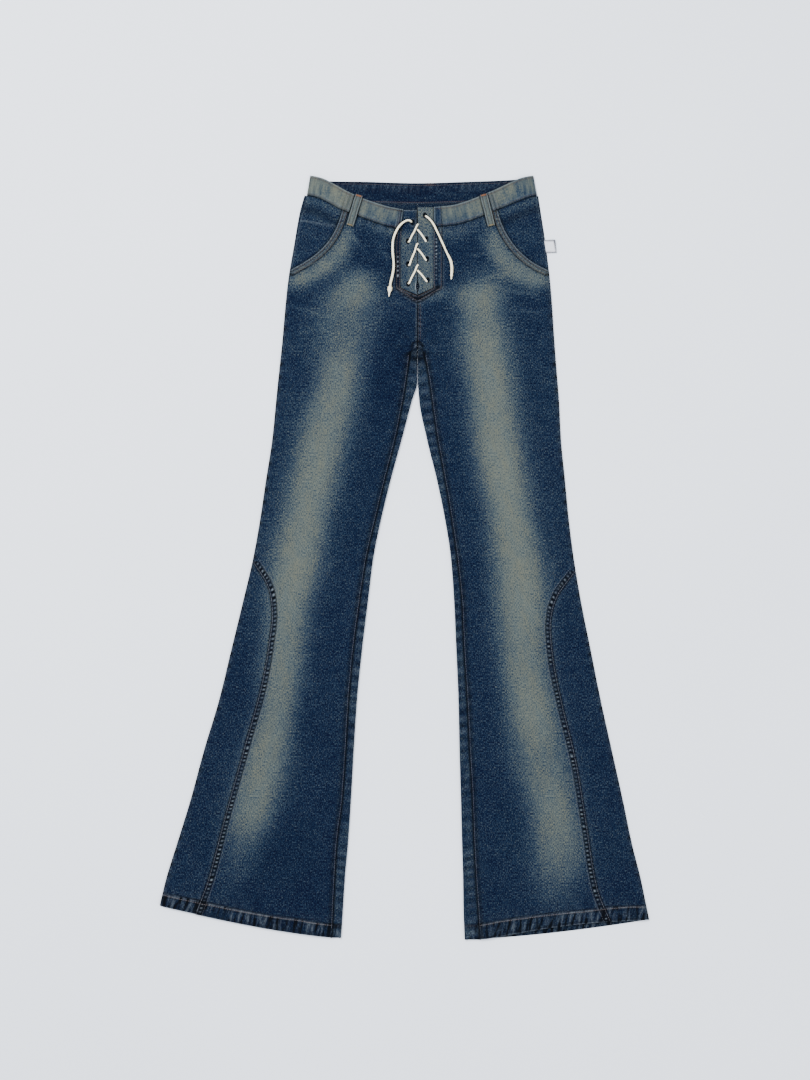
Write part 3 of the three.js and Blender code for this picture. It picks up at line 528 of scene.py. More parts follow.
# Side seam's edge, drawn in a little at each pucker
def scalloped(fields, top, y, fromEdge):
    paint(fields, "side", fromEdge)
    return gather("edge", fields, top, y, fromEdge, 1.0, 1, 1)


# Belt loops, and the painted shadow line that each one casts on the cloth along its sides
beltLoops = {
    "width": 0.0104,
    "thickness": 0.0014,
    "right": ((-0.0632, 0.5075), (-0.0766, 0.4640)),
    "left": ((0.1104, 0.5085), (0.1218, 0.4636)),
}

def loopShadowLine(half, x, y):
    (topX, topY), (footX, footY) = beltLoops[half["name"]]
    length = math.hypot(footX - topX, footY - topY)
    aheadX = (footX - topX) / length
    aheadY = (footY - topY) / length
    along = (x - topX) * aheadX + (y - topY) * aheadY
    sideways = np.abs((y - topY) * aheadX - (x - topX) * aheadY)
    within = smooth((along + 0.001) / 0.002) * smooth((length + 0.002 - along) / 0.002)
    return 0.85 * bell((sideways - beltLoops["width"] / 2 - 0.0006) / 0.0010) * within


surfaces = []


def addPiece(name, points, faces):
    mesh = bpy.data.meshes.new(name)
    mesh.from_pydata(points, [], faces)
    mesh.shade_smooth()
    piece = bpy.data.objects.new(name, mesh)
    bpy.context.scene.collection.objects.link(piece)
    return piece


# A closed cloth shell between its outer and inner grids of points
def clothPiece(name, outer, inner, fields, place, cells=None):
    rows, cols = outer.shape[:2]
    if cells is None:
        cells = np.ones((rows - 1, cols - 1), bool)
    number = np.arange(rows * cols).reshape(rows, cols)
    corners = [number[:-1, :-1], number[:-1, 1:], number[1:, 1:], number[1:, :-1]]
    upper = np.stack([c[cells] for c in corners], 1)
    layer = rows * cols
    ahead = np.concatenate([upper[:, [k, (k + 1) % 4]] for k in range(4)])
    code = ahead[:, 0] * layer + ahead[:, 1]
    back = ahead[:, 1] * layer + ahead[:, 0]
    p, q = ahead[~np.isin(back, code)].T
    rim = np.stack([q, p, p + layer, q + layer], 1)
    faces = np.concatenate([upper, upper[:, ::-1] + layer, rim])
    points = np.concatenate([outer.reshape(-1, 3), inner.reshape(-1, 3)])
    a, b, c, d = (points[faces[:, k]] for k in range(4))
    if (a * (np.cross(b, c) + np.cross(c, d))).sum() < 0:
        faces = faces[:, ::-1]
        upper = upper[:, ::-1]
    used, packed = np.unique(faces, return_inverse=True)
    piece = addPiece(name, points[used].tolist(), packed.reshape(faces.shape).tolist())
    mesh = piece.data
    for key, values in fields.items():
        both = np.concatenate([values.ravel(), values.ravel()])[used]
        mesh.attributes.new(key, "FLOAT", "POINT").data.foreach_set("value", both.astype(np.float32))
    uv = np.concatenate([place.reshape(-1, 2)] * 2)[used]
    loops = np.empty(len(mesh.loops), np.int32)
    mesh.loops.foreach_get("vertex_index", loops)
    mesh.uv_layers.new(name="cloth").data.foreach_set("uv", uv[loops].astype(np.float32).ravel())
    mesh.update()
    surfaces.append((outer.reshape(-1, 3), upper))
    return piece


# How much the cloth thins towards a cut edge, so that the edge looks rounded
def roundOff(distance, thickness):
    t = 1 - np.clip(distance / cloth["round"], 0, 1)
    return 0.44 * thickness * (1 - np.sqrt(np.clip(1 - t * t, 0, 1)))


def shellFrom(name, x, y, top, under, edgeDistance, fields, place, cells=None):
    cut = roundOff(edgeDistance, top - under)
    outer = np.stack([x, y, top - cut], -1)
    inner = np.stack([x, y, under + cut], -1)
    return clothPiece(name, outer, inner, fields, place, cells)


def nearest(*distances):
    return functools.reduce(np.minimum, distances)


def ready(piece, material, slotName, *nodes):
    piece.data.materials.append(material)
    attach(piece, "root")
    if nodes:
        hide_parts(*nodes)
    return piece


# Distances across a span: fine steps beside both edges and even ones between them
def across(span, innerSteps, outerSteps, middle):
    span = np.asarray(span)[:, None]
    first = np.array(innerSteps)[None]
    last = np.array(outerSteps)[None]
    shrink = np.minimum(1, span * 0.9 / (first[0, -1] + last[0, -1]))
    first = first * shrink
    last = last * shrink
    t = np.linspace(0, 1, middle + 2)[None, 1:-1]
    between = first[:, -1:] + (span - last[:, -1:] - first[:, -1:]) * t
    return np.concatenate([first, between, (span - last)[:, ::-1]], 1)


# Distances from an edge at which a grid has its lines
steps = {
    "end": [0.0002, 0.0005, 0.0009, 0.0015],
    "slit": [0, 0.0002, 0.0005, 0.0009],
    "inner": [0, 0.0002, 0.0005, 0.0009, 0.0014, 0.002, 0.0028, 0.0036, 0.0046, 0.0056, 0.0064, 0.007,
              0.0076, 0.0084, 0.0096, 0.0108, 0.0118, 0.0125, 0.0132, 0.0142, 0.016, 0.0185],
    "outer": [0, 0.0002, 0.0005, 0.0009, 0.0015, 0.0023, 0.0032, 0.0041, 0.005, 0.0059, 0.0066, 0.0072,
              0.0078, 0.0084, 0.0092, 0.0105, 0.0125, 0.015, 0.0185],
    "panel": [0, 0.0009, 0.0018, 0.0024, 0.0032, 0.0042, 0.0056, 0.0074, 0.0100, 0.0130],
    "panelSide": [0, 0.0002, 0.0005, 0.0009, 0.0018, 0.0030, 0.0045, 0.0062, 0.0085, 0.0110],
    "floor": [0, 0.0002, 0.0005, 0.0009, 0.003, 0.008],
    "floorFold": [0, 0.004, 0.010],
    "facing": [0, 0.001, 0.002, 0.003, 0.004, 0.0052, 0.007, 0.010],
    "facingSide": [0, 0.0002, 0.0005, 0.0009, 0.002, 0.004, 0.006, 0.0085],
}
rowStep = 0.00175


# Even places from low to high, with closer ones beside both ends
def rowsBetween(low, high, count=None, extra=()):
    if count is None:
        count = int(round((high - low) / rowStep)) + 1
    ends = [low + s for s in steps["end"]] + [high - s for s in steps["end"]]
    return np.unique(np.concatenate([np.linspace(low, high, count), ends, np.array(extra, float)]))


# Materials


def newMaterial(name, roughness, sheen=0.0, specular=0.3):
    material = bpy.data.materials.new(name)
    material.use_nodes = True
    shader = material.node_tree.nodes["Principled BSDF"]
    shader.inputs["Roughness"].default_value = roughness
    shader.inputs["Sheen Weight"].default_value = sheen
    shader.inputs["Sheen Roughness"].default_value = 0.6
    shader.inputs["Specular IOR Level"].default_value = specular
    return material, material.node_tree, shader


def startGroup(name, inputs, outputs):
    tree = bpy.data.node_groups.new(name, "ShaderNodeTree")
    for label, kind, value in inputs:
        socket = tree.interface.new_socket(label, in_out="INPUT", socket_type=kind)
        if value is not None:
            socket.default_value = value
    for label, kind in outputs:
        tree.interface.new_socket(label, in_out="OUTPUT", socket_type=kind)
    return tree, tree.nodes.new("NodeGroupInput"), tree.nodes.new("NodeGroupOutput")


# A shader node with its settings and its inputs, each a value or another node's output
def addNode(tree, kind, output, inputs, **settings):
    node = tree.nodes.new("ShaderNode" + kind)
    for key, value in settings.items():
        setattr(node, key, value)
    for key, value in inputs.items():
        if isinstance(value, bpy.types.NodeSocket):
            tree.links.new(value, node.inputs[key])
        else:
            node.inputs[key].default_value = value
    return node.outputs[output]


def mathNode(tree, operation, *values, clamp=False):
    return addNode(tree, "Math", 0, dict(enumerate(values)), operation=operation, use_clamp=clamp)


def times(tree, a, b, clamp=False):
    return mathNode(tree, "MULTIPLY", a, b, clamp=clamp)


def mapped(tree, vector, scale, turn=0.0):
    values = {"Vector": vector, "Scale": scale, "Rotation": (0, 0, math.radians(turn))}
    return addNode(tree, "Mapping", "Vector", values)


def noiseNode(tree, vector, scale, detail=2.0, roughness=0.5):
    values = {"Vector": vector, "Scale": scale, "Detail": detail, "Roughness": roughness}
    return addNode(tree, "TexNoise", "Fac", values)


def waveNode(tree, vector, scale, direction="X", distortion=0.0, detailScale=1.0):
    values = {"Vector": vector, "Scale": scale, "Distortion": distortion, "Detail Scale": detailScale}
    return addNode(tree, "TexWave", "Fac", values, wave_type="BANDS", bands_direction=direction)


def rangeNode(tree, value, fromLow, fromHigh, toLow=0.0, toHigh=1.0):
    values = {"Value": value, "From Min": fromLow, "From Max": fromHigh, "To Min": toLow, "To Max": toHigh}
    return addNode(tree, "MapRange", "Result", values)


def mixNode(tree, factor, a, b):
    return addNode(tree, "Mix", 2, {0: factor, 6: a, 7: b}, data_type="RGBA", clamp_factor=True)


def rampNode(tree, value, stops):
    node = tree.nodes.new("ShaderNodeValToRGB")
    ramp = node.color_ramp
    while len(ramp.elements) < len(stops):
        ramp.elements.new(0.5)
    for element, (position, colour) in zip(ramp.elements, stops):
        element.position = position
        element.color = colour
    tree.links.new(value, node.inputs["Fac"])
    return node.outputs["Color"]


def objectPlace(tree):
    return tree.nodes.new("ShaderNodeTexCoord").outputs["Object"]


# Each cloth piece and cord has its own flat places
def clothPlace(tree):
    return addNode(tree, "UVMap", "UV", {}, uv_map="cloth")


def bumped(tree, shader, height, distance, strength):
    values = {"Strength": strength, "Distance": distance, "Height": height}
    tree.links.new(addNode(tree, "Bump", "Normal", values), shader.inputs["Normal"])


# A colour from its screen values, 0 to 255
def screen(red, green, blue):
    parts = [c / 255 for c in (red, green, blue)]
    return (*[c / 12.92 if c <= 0.04045 else ((c + 0.055) / 1.055) ** 2.4 for c in parts], 1.0)


# A dyed cloth's or a thread's colour, matched on a screen and then deepened for the studio's strong light
def dyed(red, green, blue):
    return (*[c / 1.5 for c in screen(red, green, blue)[:3]], 1.0)


dyes = {
    "stops": [                 # wash value and its colour
        (-0.25, dyed(0, 5, 32)),
        (0.00, dyed(4, 22, 48)),
        (0.10, dyed(12, 31, 55)),
        (0.25, dyed(28, 45, 66)),
        (0.45, dyed(46, 61, 75)),
        (0.68, dyed(66, 78, 84)),
        (0.88, dyed(79, 89, 90)),
        (1.00, dyed(87, 96, 95)),
        (1.15, dyed(99, 108, 103)),
    ],
    "worn": dyed(110, 120, 127),
    "bleached": dyed(176, 180, 190),
    "deep": dyed(2, 6, 14),
    "brown": dyed(76, 60, 58),
    "fleck": dyed(74, 92, 112),
    "straw": dyed(110, 107, 84),
}
weave = {
    "twill": 560.0,            # scale of the diagonal wales, about half a millimetre apart
    "yarn": 1150.0,
    "lean": 62,
    "ribLean": 10,
    "mottle": 60.0,
    "cloud": 13.0,
    "shares": {"speckle": 3.1, "streak": 0.60, "mottle": 0.34, "cloud": 0.20, "twill": 0.08},
}

# Stretched noise in the dye: scale across and along the leg, noise's own scale, detail and roughness
grains = {
    "speckle": ((1180.0, 400.0, 1.0), 1.0, 1.5, 0.5),
    "streak": ((430.0, 42.0, 1.0), 1.0, 3, 0.6),
    "wisp": ((210.0, 40.0, 1.0), 1.0, 2.5, 0.55),
    "fleck": ((1, 0.45, 1), 1100, 2, 0.6),
    "straw": ((1, 0.4, 1), 55, 3, 0.6),
    "rib": ((215.0, 34.0, 1.0), 1.0, 2.0, 0.55),
}

# Ranges that turn a value into a share: from low and high, to low and high
ranges = {
    "ribPale": (0.55, 0.72, 0, 0.55),
    "ribDeep": (0.50, 0.37, 0, 0.95),
    "fleck": (0.60, 0.74, 0, 0.18),
    "straw": (0.35, 0.65, 0.05, 0.42),
    "strawWash": (0.45, 1.0),
    "rust": (0.3, 0.7, 0.5, 1.0),
    "ragged": (0.35, 0.62, 0.35, 1.0),
    "bright": (1.2, 2.6, 0, 0.85),
    "rough": (0.3, 0.7, 0.80, 0.96),
}


# Washed indigo twill: dye colour with its wear and painted shade, surface height and roughness from the
# painted fields
def washedTwillGroup():
    labels = [name.capitalize() for name in fieldNames]
    tree, source, result = startGroup(
        "washedTwill",
        [("Place", "NodeSocketVector", None), *[(label, "NodeSocketFloat", 0.0) for label in labels],
         ("Grain", "NodeSocketFloat", 1.0), ("Wisp", "NodeSocketFloat", 0.0)],
        [("Color", "NodeSocketColor"), ("Height", "NodeSocketFloat"), ("Roughness", "NodeSocketFloat")])
    place, wash, wear, dark, rust, rib, grain, wisp = source.outputs[:8]

    def grainy(key, at=place):
        stretch, scale, detail, roughness = grains[key]
        return noiseNode(tree, mapped(tree, at, stretch), scale, detail, roughness)

    def ranged(value, key):
        return rangeNode(tree, value, *ranges[key])

    speckle = grainy("speckle")
    mottle = noiseNode(tree, place, weave["mottle"], 4, 0.6)
    twill = waveNode(tree, mapped(tree, place, (1, 1, 1), weave["lean"]), weave["twill"], "X", 1.2, 2.0)
    yarn = waveNode(tree, place, weave["yarn"] / 2, "X", 0.8, 2.0)
    textures = {"speckle": speckle, "streak": grainy("streak"), "mottle": mottle,
                "cloud": noiseNode(tree, place, weave["cloud"], 3, 0.5), "twill": twill,
                "wisp": grainy("wisp")}
    shares = {**weave["shares"], "speckle": times(tree, grain, weave["shares"]["speckle"]), "wisp": wisp}
    value = wash
    for key, share in shares.items():
        value = mathNode(tree, "MULTIPLY_ADD", mathNode(tree, "SUBTRACT", textures[key], 0.5), share, value)
    ribbing = grainy("rib", mapped(tree, place, (1, 1, 1), weave["ribLean"]))
    ribPale = times(tree, ranged(ribbing, "ribPale"), rib)
    ribDeep = times(tree, ranged(ribbing, "ribDeep"), rib)
    ragged = ranged(speckle, "ragged")
    low, high = dyes["stops"][0][0], dyes["stops"][-1][0]
    stops = [((at - low) / (high - low), colour) for at, colour in dyes["stops"]]
    colour = rampNode(tree, rangeNode(tree, value, low, high), stops)
    coats = {
        "fleck": ranged(grainy("fleck"), "fleck"),
        "straw": times(tree, ranged(value, "strawWash"), ranged(grainy("straw"), "straw")),
        "brown": times(tree, rust, ranged(mottle, "rust")),
        "worn": times(tree, mathNode(tree, "ADD", wear, ribPale), ragged, clamp=True),
        "bleached": times(tree, ranged(wear, "bright"), ragged),
        "deep": mathNode(tree, "ADD", dark, ribDeep, clamp=True),
    }
    for key, share in coats.items():
        colour = mixNode(tree, share, colour, dyes[key])
    height = mathNode(tree, "MULTIPLY_ADD", twill, 0.55, times(tree, yarn, 0.25))
    height = mathNode(tree, "MULTIPLY_ADD", speckle, 0.6, height)
    height = mathNode(tree, "MULTIPLY_ADD", ribPale, 1.6, height)
    for key, output in (("Color", colour), ("Height", height), ("Roughness", ranged(speckle, "rough"))):
        tree.links.new(output, result.inputs[key])
    return tree


def denimMaterial(name, group, sheen, grain, wisp):
    material, tree, shader = newMaterial(name, 0.9, sheen, 0.035)
    twill = tree.nodes.new("ShaderNodeGroup")
    twill.node_tree = group
    tree.links.new(clothPlace(tree), twill.inputs["Place"])
    twill.inputs["Grain"].default_value = grain
    twill.inputs["Wisp"].default_value = wisp
    for key in fieldNames:
        field = addNode(tree, "Attribute", "Fac", {}, attribute_name=key)
        tree.links.new(field, twill.inputs[key.capitalize()])
    tree.links.new(twill.outputs["Color"], shader.inputs["Base Color"])
    tree.links.new(twill.outputs["Roughness"], shader.inputs["Roughness"])
    bumped(tree, shader, twill.outputs["Height"], 0.00025, 0.7)
    return material


# Spun thread: a base colour with a fine twist and a few lighter fibres
def threadMaterial(name, colour, pale):
    material, tree, shader = newMaterial(name, 0.75, 0.1, 0.35)
    place = objectPlace(tree)
    fibre = noiseNode(tree, place, 1400, 2, 0.6)
    patch = noiseNode(tree, place, 160, 2, 0.5)
    share = times(tree, rangeNode(tree, patch, 0.35, 0.65), rangeNode(tree, fibre, 0.3, 0.7, 0.4, 1))
    tree.links.new(mixNode(tree, share, colour, pale), shader.inputs["Base Color"])
    bumped(tree, shader, fibre, 0.0001, 0.5)
    return material


# Braided cotton lace: two crossing families of strands round the cord
def laceMaterial():
    material, tree, shader = newMaterial("laceCotton", 0.8, 0.2, 0.3)
    place = clothPlace(tree)
    strands = [waveNode(tree, mapped(tree, place, (1, 1, 1), turn), 130, "X", 0.3) for turn in (42, -42)]
    braid = mathNode(tree, "MAXIMUM", *strands)
    fuzz = noiseNode(tree, place, 900, 3, 0.6)
    soil = noiseNode(tree, place, 90, 3, 0.6)
    # strands lighter and the grooves between them darker: painted highlight and painted shade over the braid
    colour = mixNode(tree, rangeNode(tree, braid, 0.35, 0.9), screen(216, 198, 152), screen(255, 251, 228))
    colour = mixNode(tree, rangeNode(tree, soil, 0.45, 0.75, 0, 0.5), colour, screen(226, 206, 154))
    tree.links.new(colour, shader.inputs["Base Color"])
    bumped(tree, shader, mathNode(tree, "MULTIPLY_ADD", fuzz, 0.25, braid), 0.0003, 0.45)
    return material


# Woven tape for the bare side label: fine cross ribs and a soft satin light
def tapeMaterial():
    material, tree, shader = newMaterial("labelTape", 0.55, 0.15, 0.4)
    place = objectPlace(tree)
    ribs = waveNode(tree, place, 420, "Y", 0.4)
    blotch = noiseNode(tree, place, 260, 3, 0.6)
    colour = mixNode(tree, ribs, screen(196, 198, 206), screen(232, 232, 238))
    colour = mixNode(tree, rangeNode(tree, blotch, 0.45, 0.8, 0, 0.35), colour, screen(170, 173, 184))
    rimShare = addNode(tree, "Attribute", "Fac", {}, attribute_name="rim")
    colour = mixNode(tree, rimShare, colour, screen(58, 60, 70))
    tree.links.new(colour, shader.inputs["Base Color"])
    bumped(tree, shader, mathNode(tree, "MULTIPLY_ADD", blotch, 0.3, ribs), 0.00015, 0.6)
    return material


twillGroup = washedTwillGroup()
denim = denimMaterial("legDenim", twillGroup, 0.02, 1.0, 0.0)
paleDenim = denimMaterial("bandDenim", twillGroup, 0.02, 0.42, 0.9)
laceCotton = laceMaterial()
labelTape = tapeMaterial()
threads = {key: threadMaterial("thread" + key.capitalize(), dyed(*base), dyed(*pale)) for key, base, pale in (
    ("brown", (64, 50, 48), (98, 82, 78)),
    ("tan", (88, 78, 80), (122, 112, 112)),
    ("pale", (72, 72, 84), (118, 118, 130)),
    ("rust", (122, 66, 32), (146, 98, 60)),
    ("yellow", (116, 98, 50), (142, 124, 84)),
)}
print("materials ready")

# Floor, light and backdrop
studio = {
    "floor": screen(240, 245, 254),
    "key": {"place": (-1.2, 1.3, 2.6), "size": 1.1, "power": 136.0},
    "fill": {"place": (1.5, -1.0, 2.8), "size": 2.6, "power": 66.0},
    "sky": 1.32,
}
bpy.ops.mesh.primitive_plane_add(size=9, location=(0, 0, -0.0002))
floor = bpy.context.object
floor.name = "floor"
floorMaterial, floorTree, floorShader = newMaterial("floorPlaster", 0.9, 0.0, 0.2)
floorPlace = floorTree.nodes.new("ShaderNodeTexCoord").outputs["Object"]
floorTone = noiseNode(floorTree, floorPlace, 3.0, 2, 0.5)
floorColour = mixNode(floorTree, rangeNode(floorTree, floorTone, 0.3, 0.7, 0, 0.12), studio["floor"],
                      screen(216, 220, 232))
floorTree.links.new(floorColour, floorShader.inputs["Base Color"])
floor.data.materials.append(floorMaterial)
for key in ("key", "fill"):
    lamp = studio[key]
    bpy.ops.object.light_add(type="AREA", location=lamp["place"])
    light = bpy.context.object
    light.name = key + "Light"
    light.data.shape = "DISK"
    light.data.size = lamp["size"]
    light.data.energy = lamp["power"]
    light.rotation_euler = (-Vector(lamp["place"])).to_track_quat("-Z", "Y").to_euler()
world = bpy.data.worlds.new("studioSky")
bpy.context.scene.world = world
world.use_nodes = True
world.node_tree.nodes["Background"].inputs["Color"].default_value = (0.88, 0.93, 1.0, 1)
world.node_tree.nodes["Background"].inputs["Strength"].default_value = studio["sky"]
print("studio ready")

# Lace: free ends along given routes, then the three crossings
lace = {
    "diameter": 0.0030,
    "sides": 14,
    "slim": 0.79,              # share of the width left where the cord is pulled tight
    "squash": 0.86,            # the cord lies a little flat
    "hole": 0.0040,            # height of the cord's middle inside an eyelet
    "endRight": [
        (0.0082, 0.4708, 0.0066), (0.0062, 0.4716, 0.0070), (0.0028, 0.4712, 0.0073),
        (-0.0008, 0.4692, 0.0075), (-0.0044, 0.4664, 0.00765), (-0.0082, 0.4620, 0.00765),
        (-0.0114, 0.4566, 0.00765), (-0.0142, 0.4502, 0.0075), (-0.0160, 0.4436, 0.0074),
        (-0.0166, 0.4366, 0.0074), (-0.0166, 0.4294, 0.0074), (-0.0160, 0.4210, 0.0074),
        (-0.0152, 0.4130, 0.0074), (-0.0152, 0.4056, 0.0074), (-0.0162, 0.3982, 0.0075),
        (-0.0178, 0.3910, 0.0077), (-0.0194, 0.3846, 0.0079), (-0.0200, 0.3796, 0.0080),
    ],
    "endLeft": [
        (0.0310, 0.4768, 0.0064), (0.0326, 0.4754, 0.0071), (0.0350, 0.4732, 0.0075),
        (0.0384, 0.4692, 0.00765), (0.0416, 0.4640, 0.00765), (0.0446, 0.4578, 0.00765),
        (0.0478, 0.4512, 0.00765), (0.0512, 0.4438, 0.00765), (0.0546, 0.4364, 0.0076),
        (0.0580, 0.4288, 0.0072), (0.0616, 0.4216, 0.0068), (0.0646, 0.4150, 0.0067),
        (0.0660, 0.4080, 0.0067), (0.0662, 0.4010, 0.0067), (0.0658, 0.3954, 0.0067),
    ],
    "eyeletReach": (0.0020, 0.0028),   # half width and half height of an eyelet's hole
    "eyelets": [(0.0114, 0.4692, 0.0284, 0.4790), (0.0046, 0.4428, 0.0308, 0.4458),
                (0.0049, 0.4108, 0.0317, 0.4180), (0.0052, 0.3832, 0.0326, 0.3884)],
    "strandEnds": [(0.0088, 0.4705, 0.0300, 0.4778), (0.0066, 0.4424, 0.0294, 0.4424),
                   (0.0070, 0.4096, 0.0294, 0.4160), (0.0066, 0.3842, 0.0304, 0.3862)],
    "crossings": [(1, 0.0184, 0.4645, 0.0194, 0.4576), (2, 0.0182, 0.4375, 0.0196, 0.4306),
                  (3, 0.0186, 0.4078, 0.0196, 0.4004)],
}


# Points of a smooth curve through given ones
def curveThrough(points, pieces=8):
    p = np.array(points, float)
    p = np.concatenate([[2 * p[0] - p[1]], p, [2 * p[-1] - p[-2]]])
    made = []
    for k in range(1, len(p) - 2):
        for t in np.arange(pieces) / pieces:
            a, b, c, d = p[k - 1:k + 3]
            made.append(0.5 * (2 * b + (c - a) * t + (2 * a - 5 * b + 4 * c - d) * t**2
                               + (3 * b - a - 3 * c + d) * t**3))
    return np.array(made + [p[-2]])


def lineLength(path):
    return float(np.linalg.norm(np.diff(path, axis=0), axis=1).sum())


# Work in edit mode on the whole of one piece, done by a function
def inEditMode(piece, work):
    bpy.ops.object.select_all(action="DESELECT")
    bpy.context.view_layer.objects.active = piece
    piece.select_set(True)
    bpy.ops.object.mode_set(mode="EDIT")
    bpy.ops.mesh.select_all(action="SELECT")
    work()
    bpy.ops.object.mode_set(mode="OBJECT")


def turnOutward():
    bpy.ops.mesh.select_all(action="SELECT")
    bpy.ops.mesh.normals_make_consistent(inside=False)


# A round cord with closed ends along a path, with its own width at each point
def cordPiece(name, path, width):
    path = np.asarray(path, float)
    width = np.broadcast_to(width, len(path))
    sides = lace["sides"]
    ahead = np.gradient(path, axis=0)
    ahead /= np.linalg.norm(ahead, axis=1)[:, None]
    sideways = np.cross(ahead, (0, 0, 1))
    sideways /= np.maximum(np.linalg.norm(sideways, axis=1), 1e-9)[:, None]
    upward = np.cross(sideways, ahead)
    turn = np.arange(sides) / sides * 2 * np.pi
    ring = (sideways[:, None] * np.cos(turn)[None, :, None]
            + upward[:, None] * np.sin(turn)[None, :, None] * lace["squash"]) * (width[:, None, None] / 2)
    last = (len(path) - 1) * sides
    cells = [(i, j) for i in range(len(path) - 1) for j in range(sides)]
    faces = [(i * sides + j, i * sides + (j + 1) % sides,
              (i + 1) * sides + (j + 1) % sides, (i + 1) * sides + j) for i, j in cells]
    ends = [tuple(range(sides - 1, -1, -1)), tuple(last + j for j in range(sides))]
    piece = addPiece(name, (path[:, None] + ring).reshape(-1, 3).tolist(), faces + ends)
    along = np.concatenate([[0], np.cumsum(np.linalg.norm(np.diff(path, axis=0), axis=1))])
    part = lace["diameter"] * np.pi / sides
    uv = [(part * (j + dj), along[i + di]) for i, j in cells for di, dj in ((0, 0), (0, 1), (1, 1), (1, 0))]
    uv += [(0, 0)] * sides + [(0, along[-1])] * sides
    piece.data.uv_layers.new(name="cloth").data.foreach_set("uv", np.array(uv, np.float32).ravel())
    inEditMode(piece, turnOutward)
    piece.select_set(False)
    return piece


# A turned form made ring by ring, then laid along the cord's last step
def turnedTip(name, profile, route):
    end = Vector(route[-1])
    ahead = (end - Vector(route[-2])).normalized()
    bpy.ops.mesh.primitive_circle_add(vertices=16, radius=profile[0][1], fill_type="NGON")
    piece = bpy.context.object
    piece.name = name

    def drawOut():
        for (at, radius), (nextAt, nextRadius) in zip(profile, profile[1:]):
            bpy.ops.mesh.extrude_region_move(TRANSFORM_OT_translate={"value": (0, 0, nextAt - at)})
            share = nextRadius / radius
            bpy.ops.transform.resize(value=(share, share, 1), center_override=(0, 0, nextAt))
        turnOutward()

    inEditMode(piece, drawOut)
    piece.rotation_euler = ahead.to_track_quat("Z", "Y").to_euler()
    piece.location = end
    bpy.ops.object.transform_apply(location=True, rotation=True, scale=True)
    return piece


# Smooth lace trimmings share the cord's braid
def trimmed(piece, node):
    flat = piece.data.uv_layers.new(name="cloth")
    for loop in piece.data.loops:
        x, y, z = piece.data.vertices[loop.vertex_index].co
        flat.data[loop.index].uv = (x + z, y)
    piece.data.shade_smooth()
    return ready(piece, laceCotton, "lace_cord", node)


# The end on the wearer's right goes down to a knot with a short tail, and the other one to a tied tip
knot = {
    "profile": [(0, 0.0018), (0.0016, 0.0024), (0.0030, 0.0029), (0.0046, 0.0031), (0.0060, 0.0029),
                (0.0078, 0.0021), (0.0100, 0.0013), (0.0125, 0.0010), (0.0150, 0.0007)],
    "wraps": [(0.0026, 0.0024, 24), (0.0049, 0.0024, -20)],   # place along, radius, lean in degrees
    "wrapThick": 0.00095,
}
tied = {
    "profile": [(0, 0.0021), (0.0012, 0.0019), (0.0024, 0.0013), (0.0034, 0.0009), (0.0044, 0.0011),
                (0.0056, 0.0009), (0.0064, 0.0005)],
}
endRight = curveThrough([(0.0098, 0.4700, lace["hole"])] + lace["endRight"])
endLeft = curveThrough([(0.0298, 0.4780, lace["hole"])] + lace["endLeft"])
shareRight = np.linspace(0, 1, len(endRight))
shareLeft = np.linspace(0, 1, len(endLeft))
widthRight = lace["diameter"] * (0.84 + 0.10 * wobble(shareRight * 14, 3) + 0.18 * smooth(shareRight * 1.3))
widthLeft = lace["diameter"] * (0.84 + 0.10 * wobble(shareLeft * 12, 5)) * (
    1 + 0.45 * smooth((shareLeft - 0.66) / 0.16) * smooth((1.02 - shareLeft) / 0.06))
laceRight = ready(cordPiece("laceEndRight", endRight, widthRight), laceCotton, "lace_cord", "lace_end_right")
laceLeft = ready(cordPiece("laceEndLeft", endLeft, widthLeft), laceCotton, "lace_cord", "lace_end_left")
knotPiece = turnedTip("laceKnotRight", knot["profile"], lace["endRight"])
knotAhead = (Vector(lace["endRight"][-1]) - Vector(lace["endRight"][-2])).normalized()
wraps = []
for at, radius, lean in knot["wraps"]:
    place = Vector(lace["endRight"][-1]) + knotAhead * at
    bpy.ops.mesh.primitive_torus_add(major_segments=28, minor_segments=10, major_radius=radius,
                                     minor_radius=knot["wrapThick"], location=place,
                                     rotation=knotAhead.to_track_quat("Z", "Y").to_euler())
    wraps.append(bpy.context.object)
    inEditMode(wraps[-1], lambda: bpy.ops.transform.rotate(
        value=math.radians(lean), orient_axis="X", center_override=place))
    bpy.ops.object.transform_apply(location=True, rotation=True, scale=True)
bpy.ops.object.select_all(action="DESELECT")
for piece in (*wraps, knotPiece):
    piece.select_set(True)
bpy.context.view_layer.objects.active = knotPiece
bpy.ops.object.join()
for layer in list(knotPiece.data.uv_layers):
    knotPiece.data.uv_layers.remove(layer)
trimmed(knotPiece, "lace_knot_right")
tipPiece = trimmed(turnedTip("laceTipLeft", tied["profile"], lace["endLeft"]), "lace_tip_left")

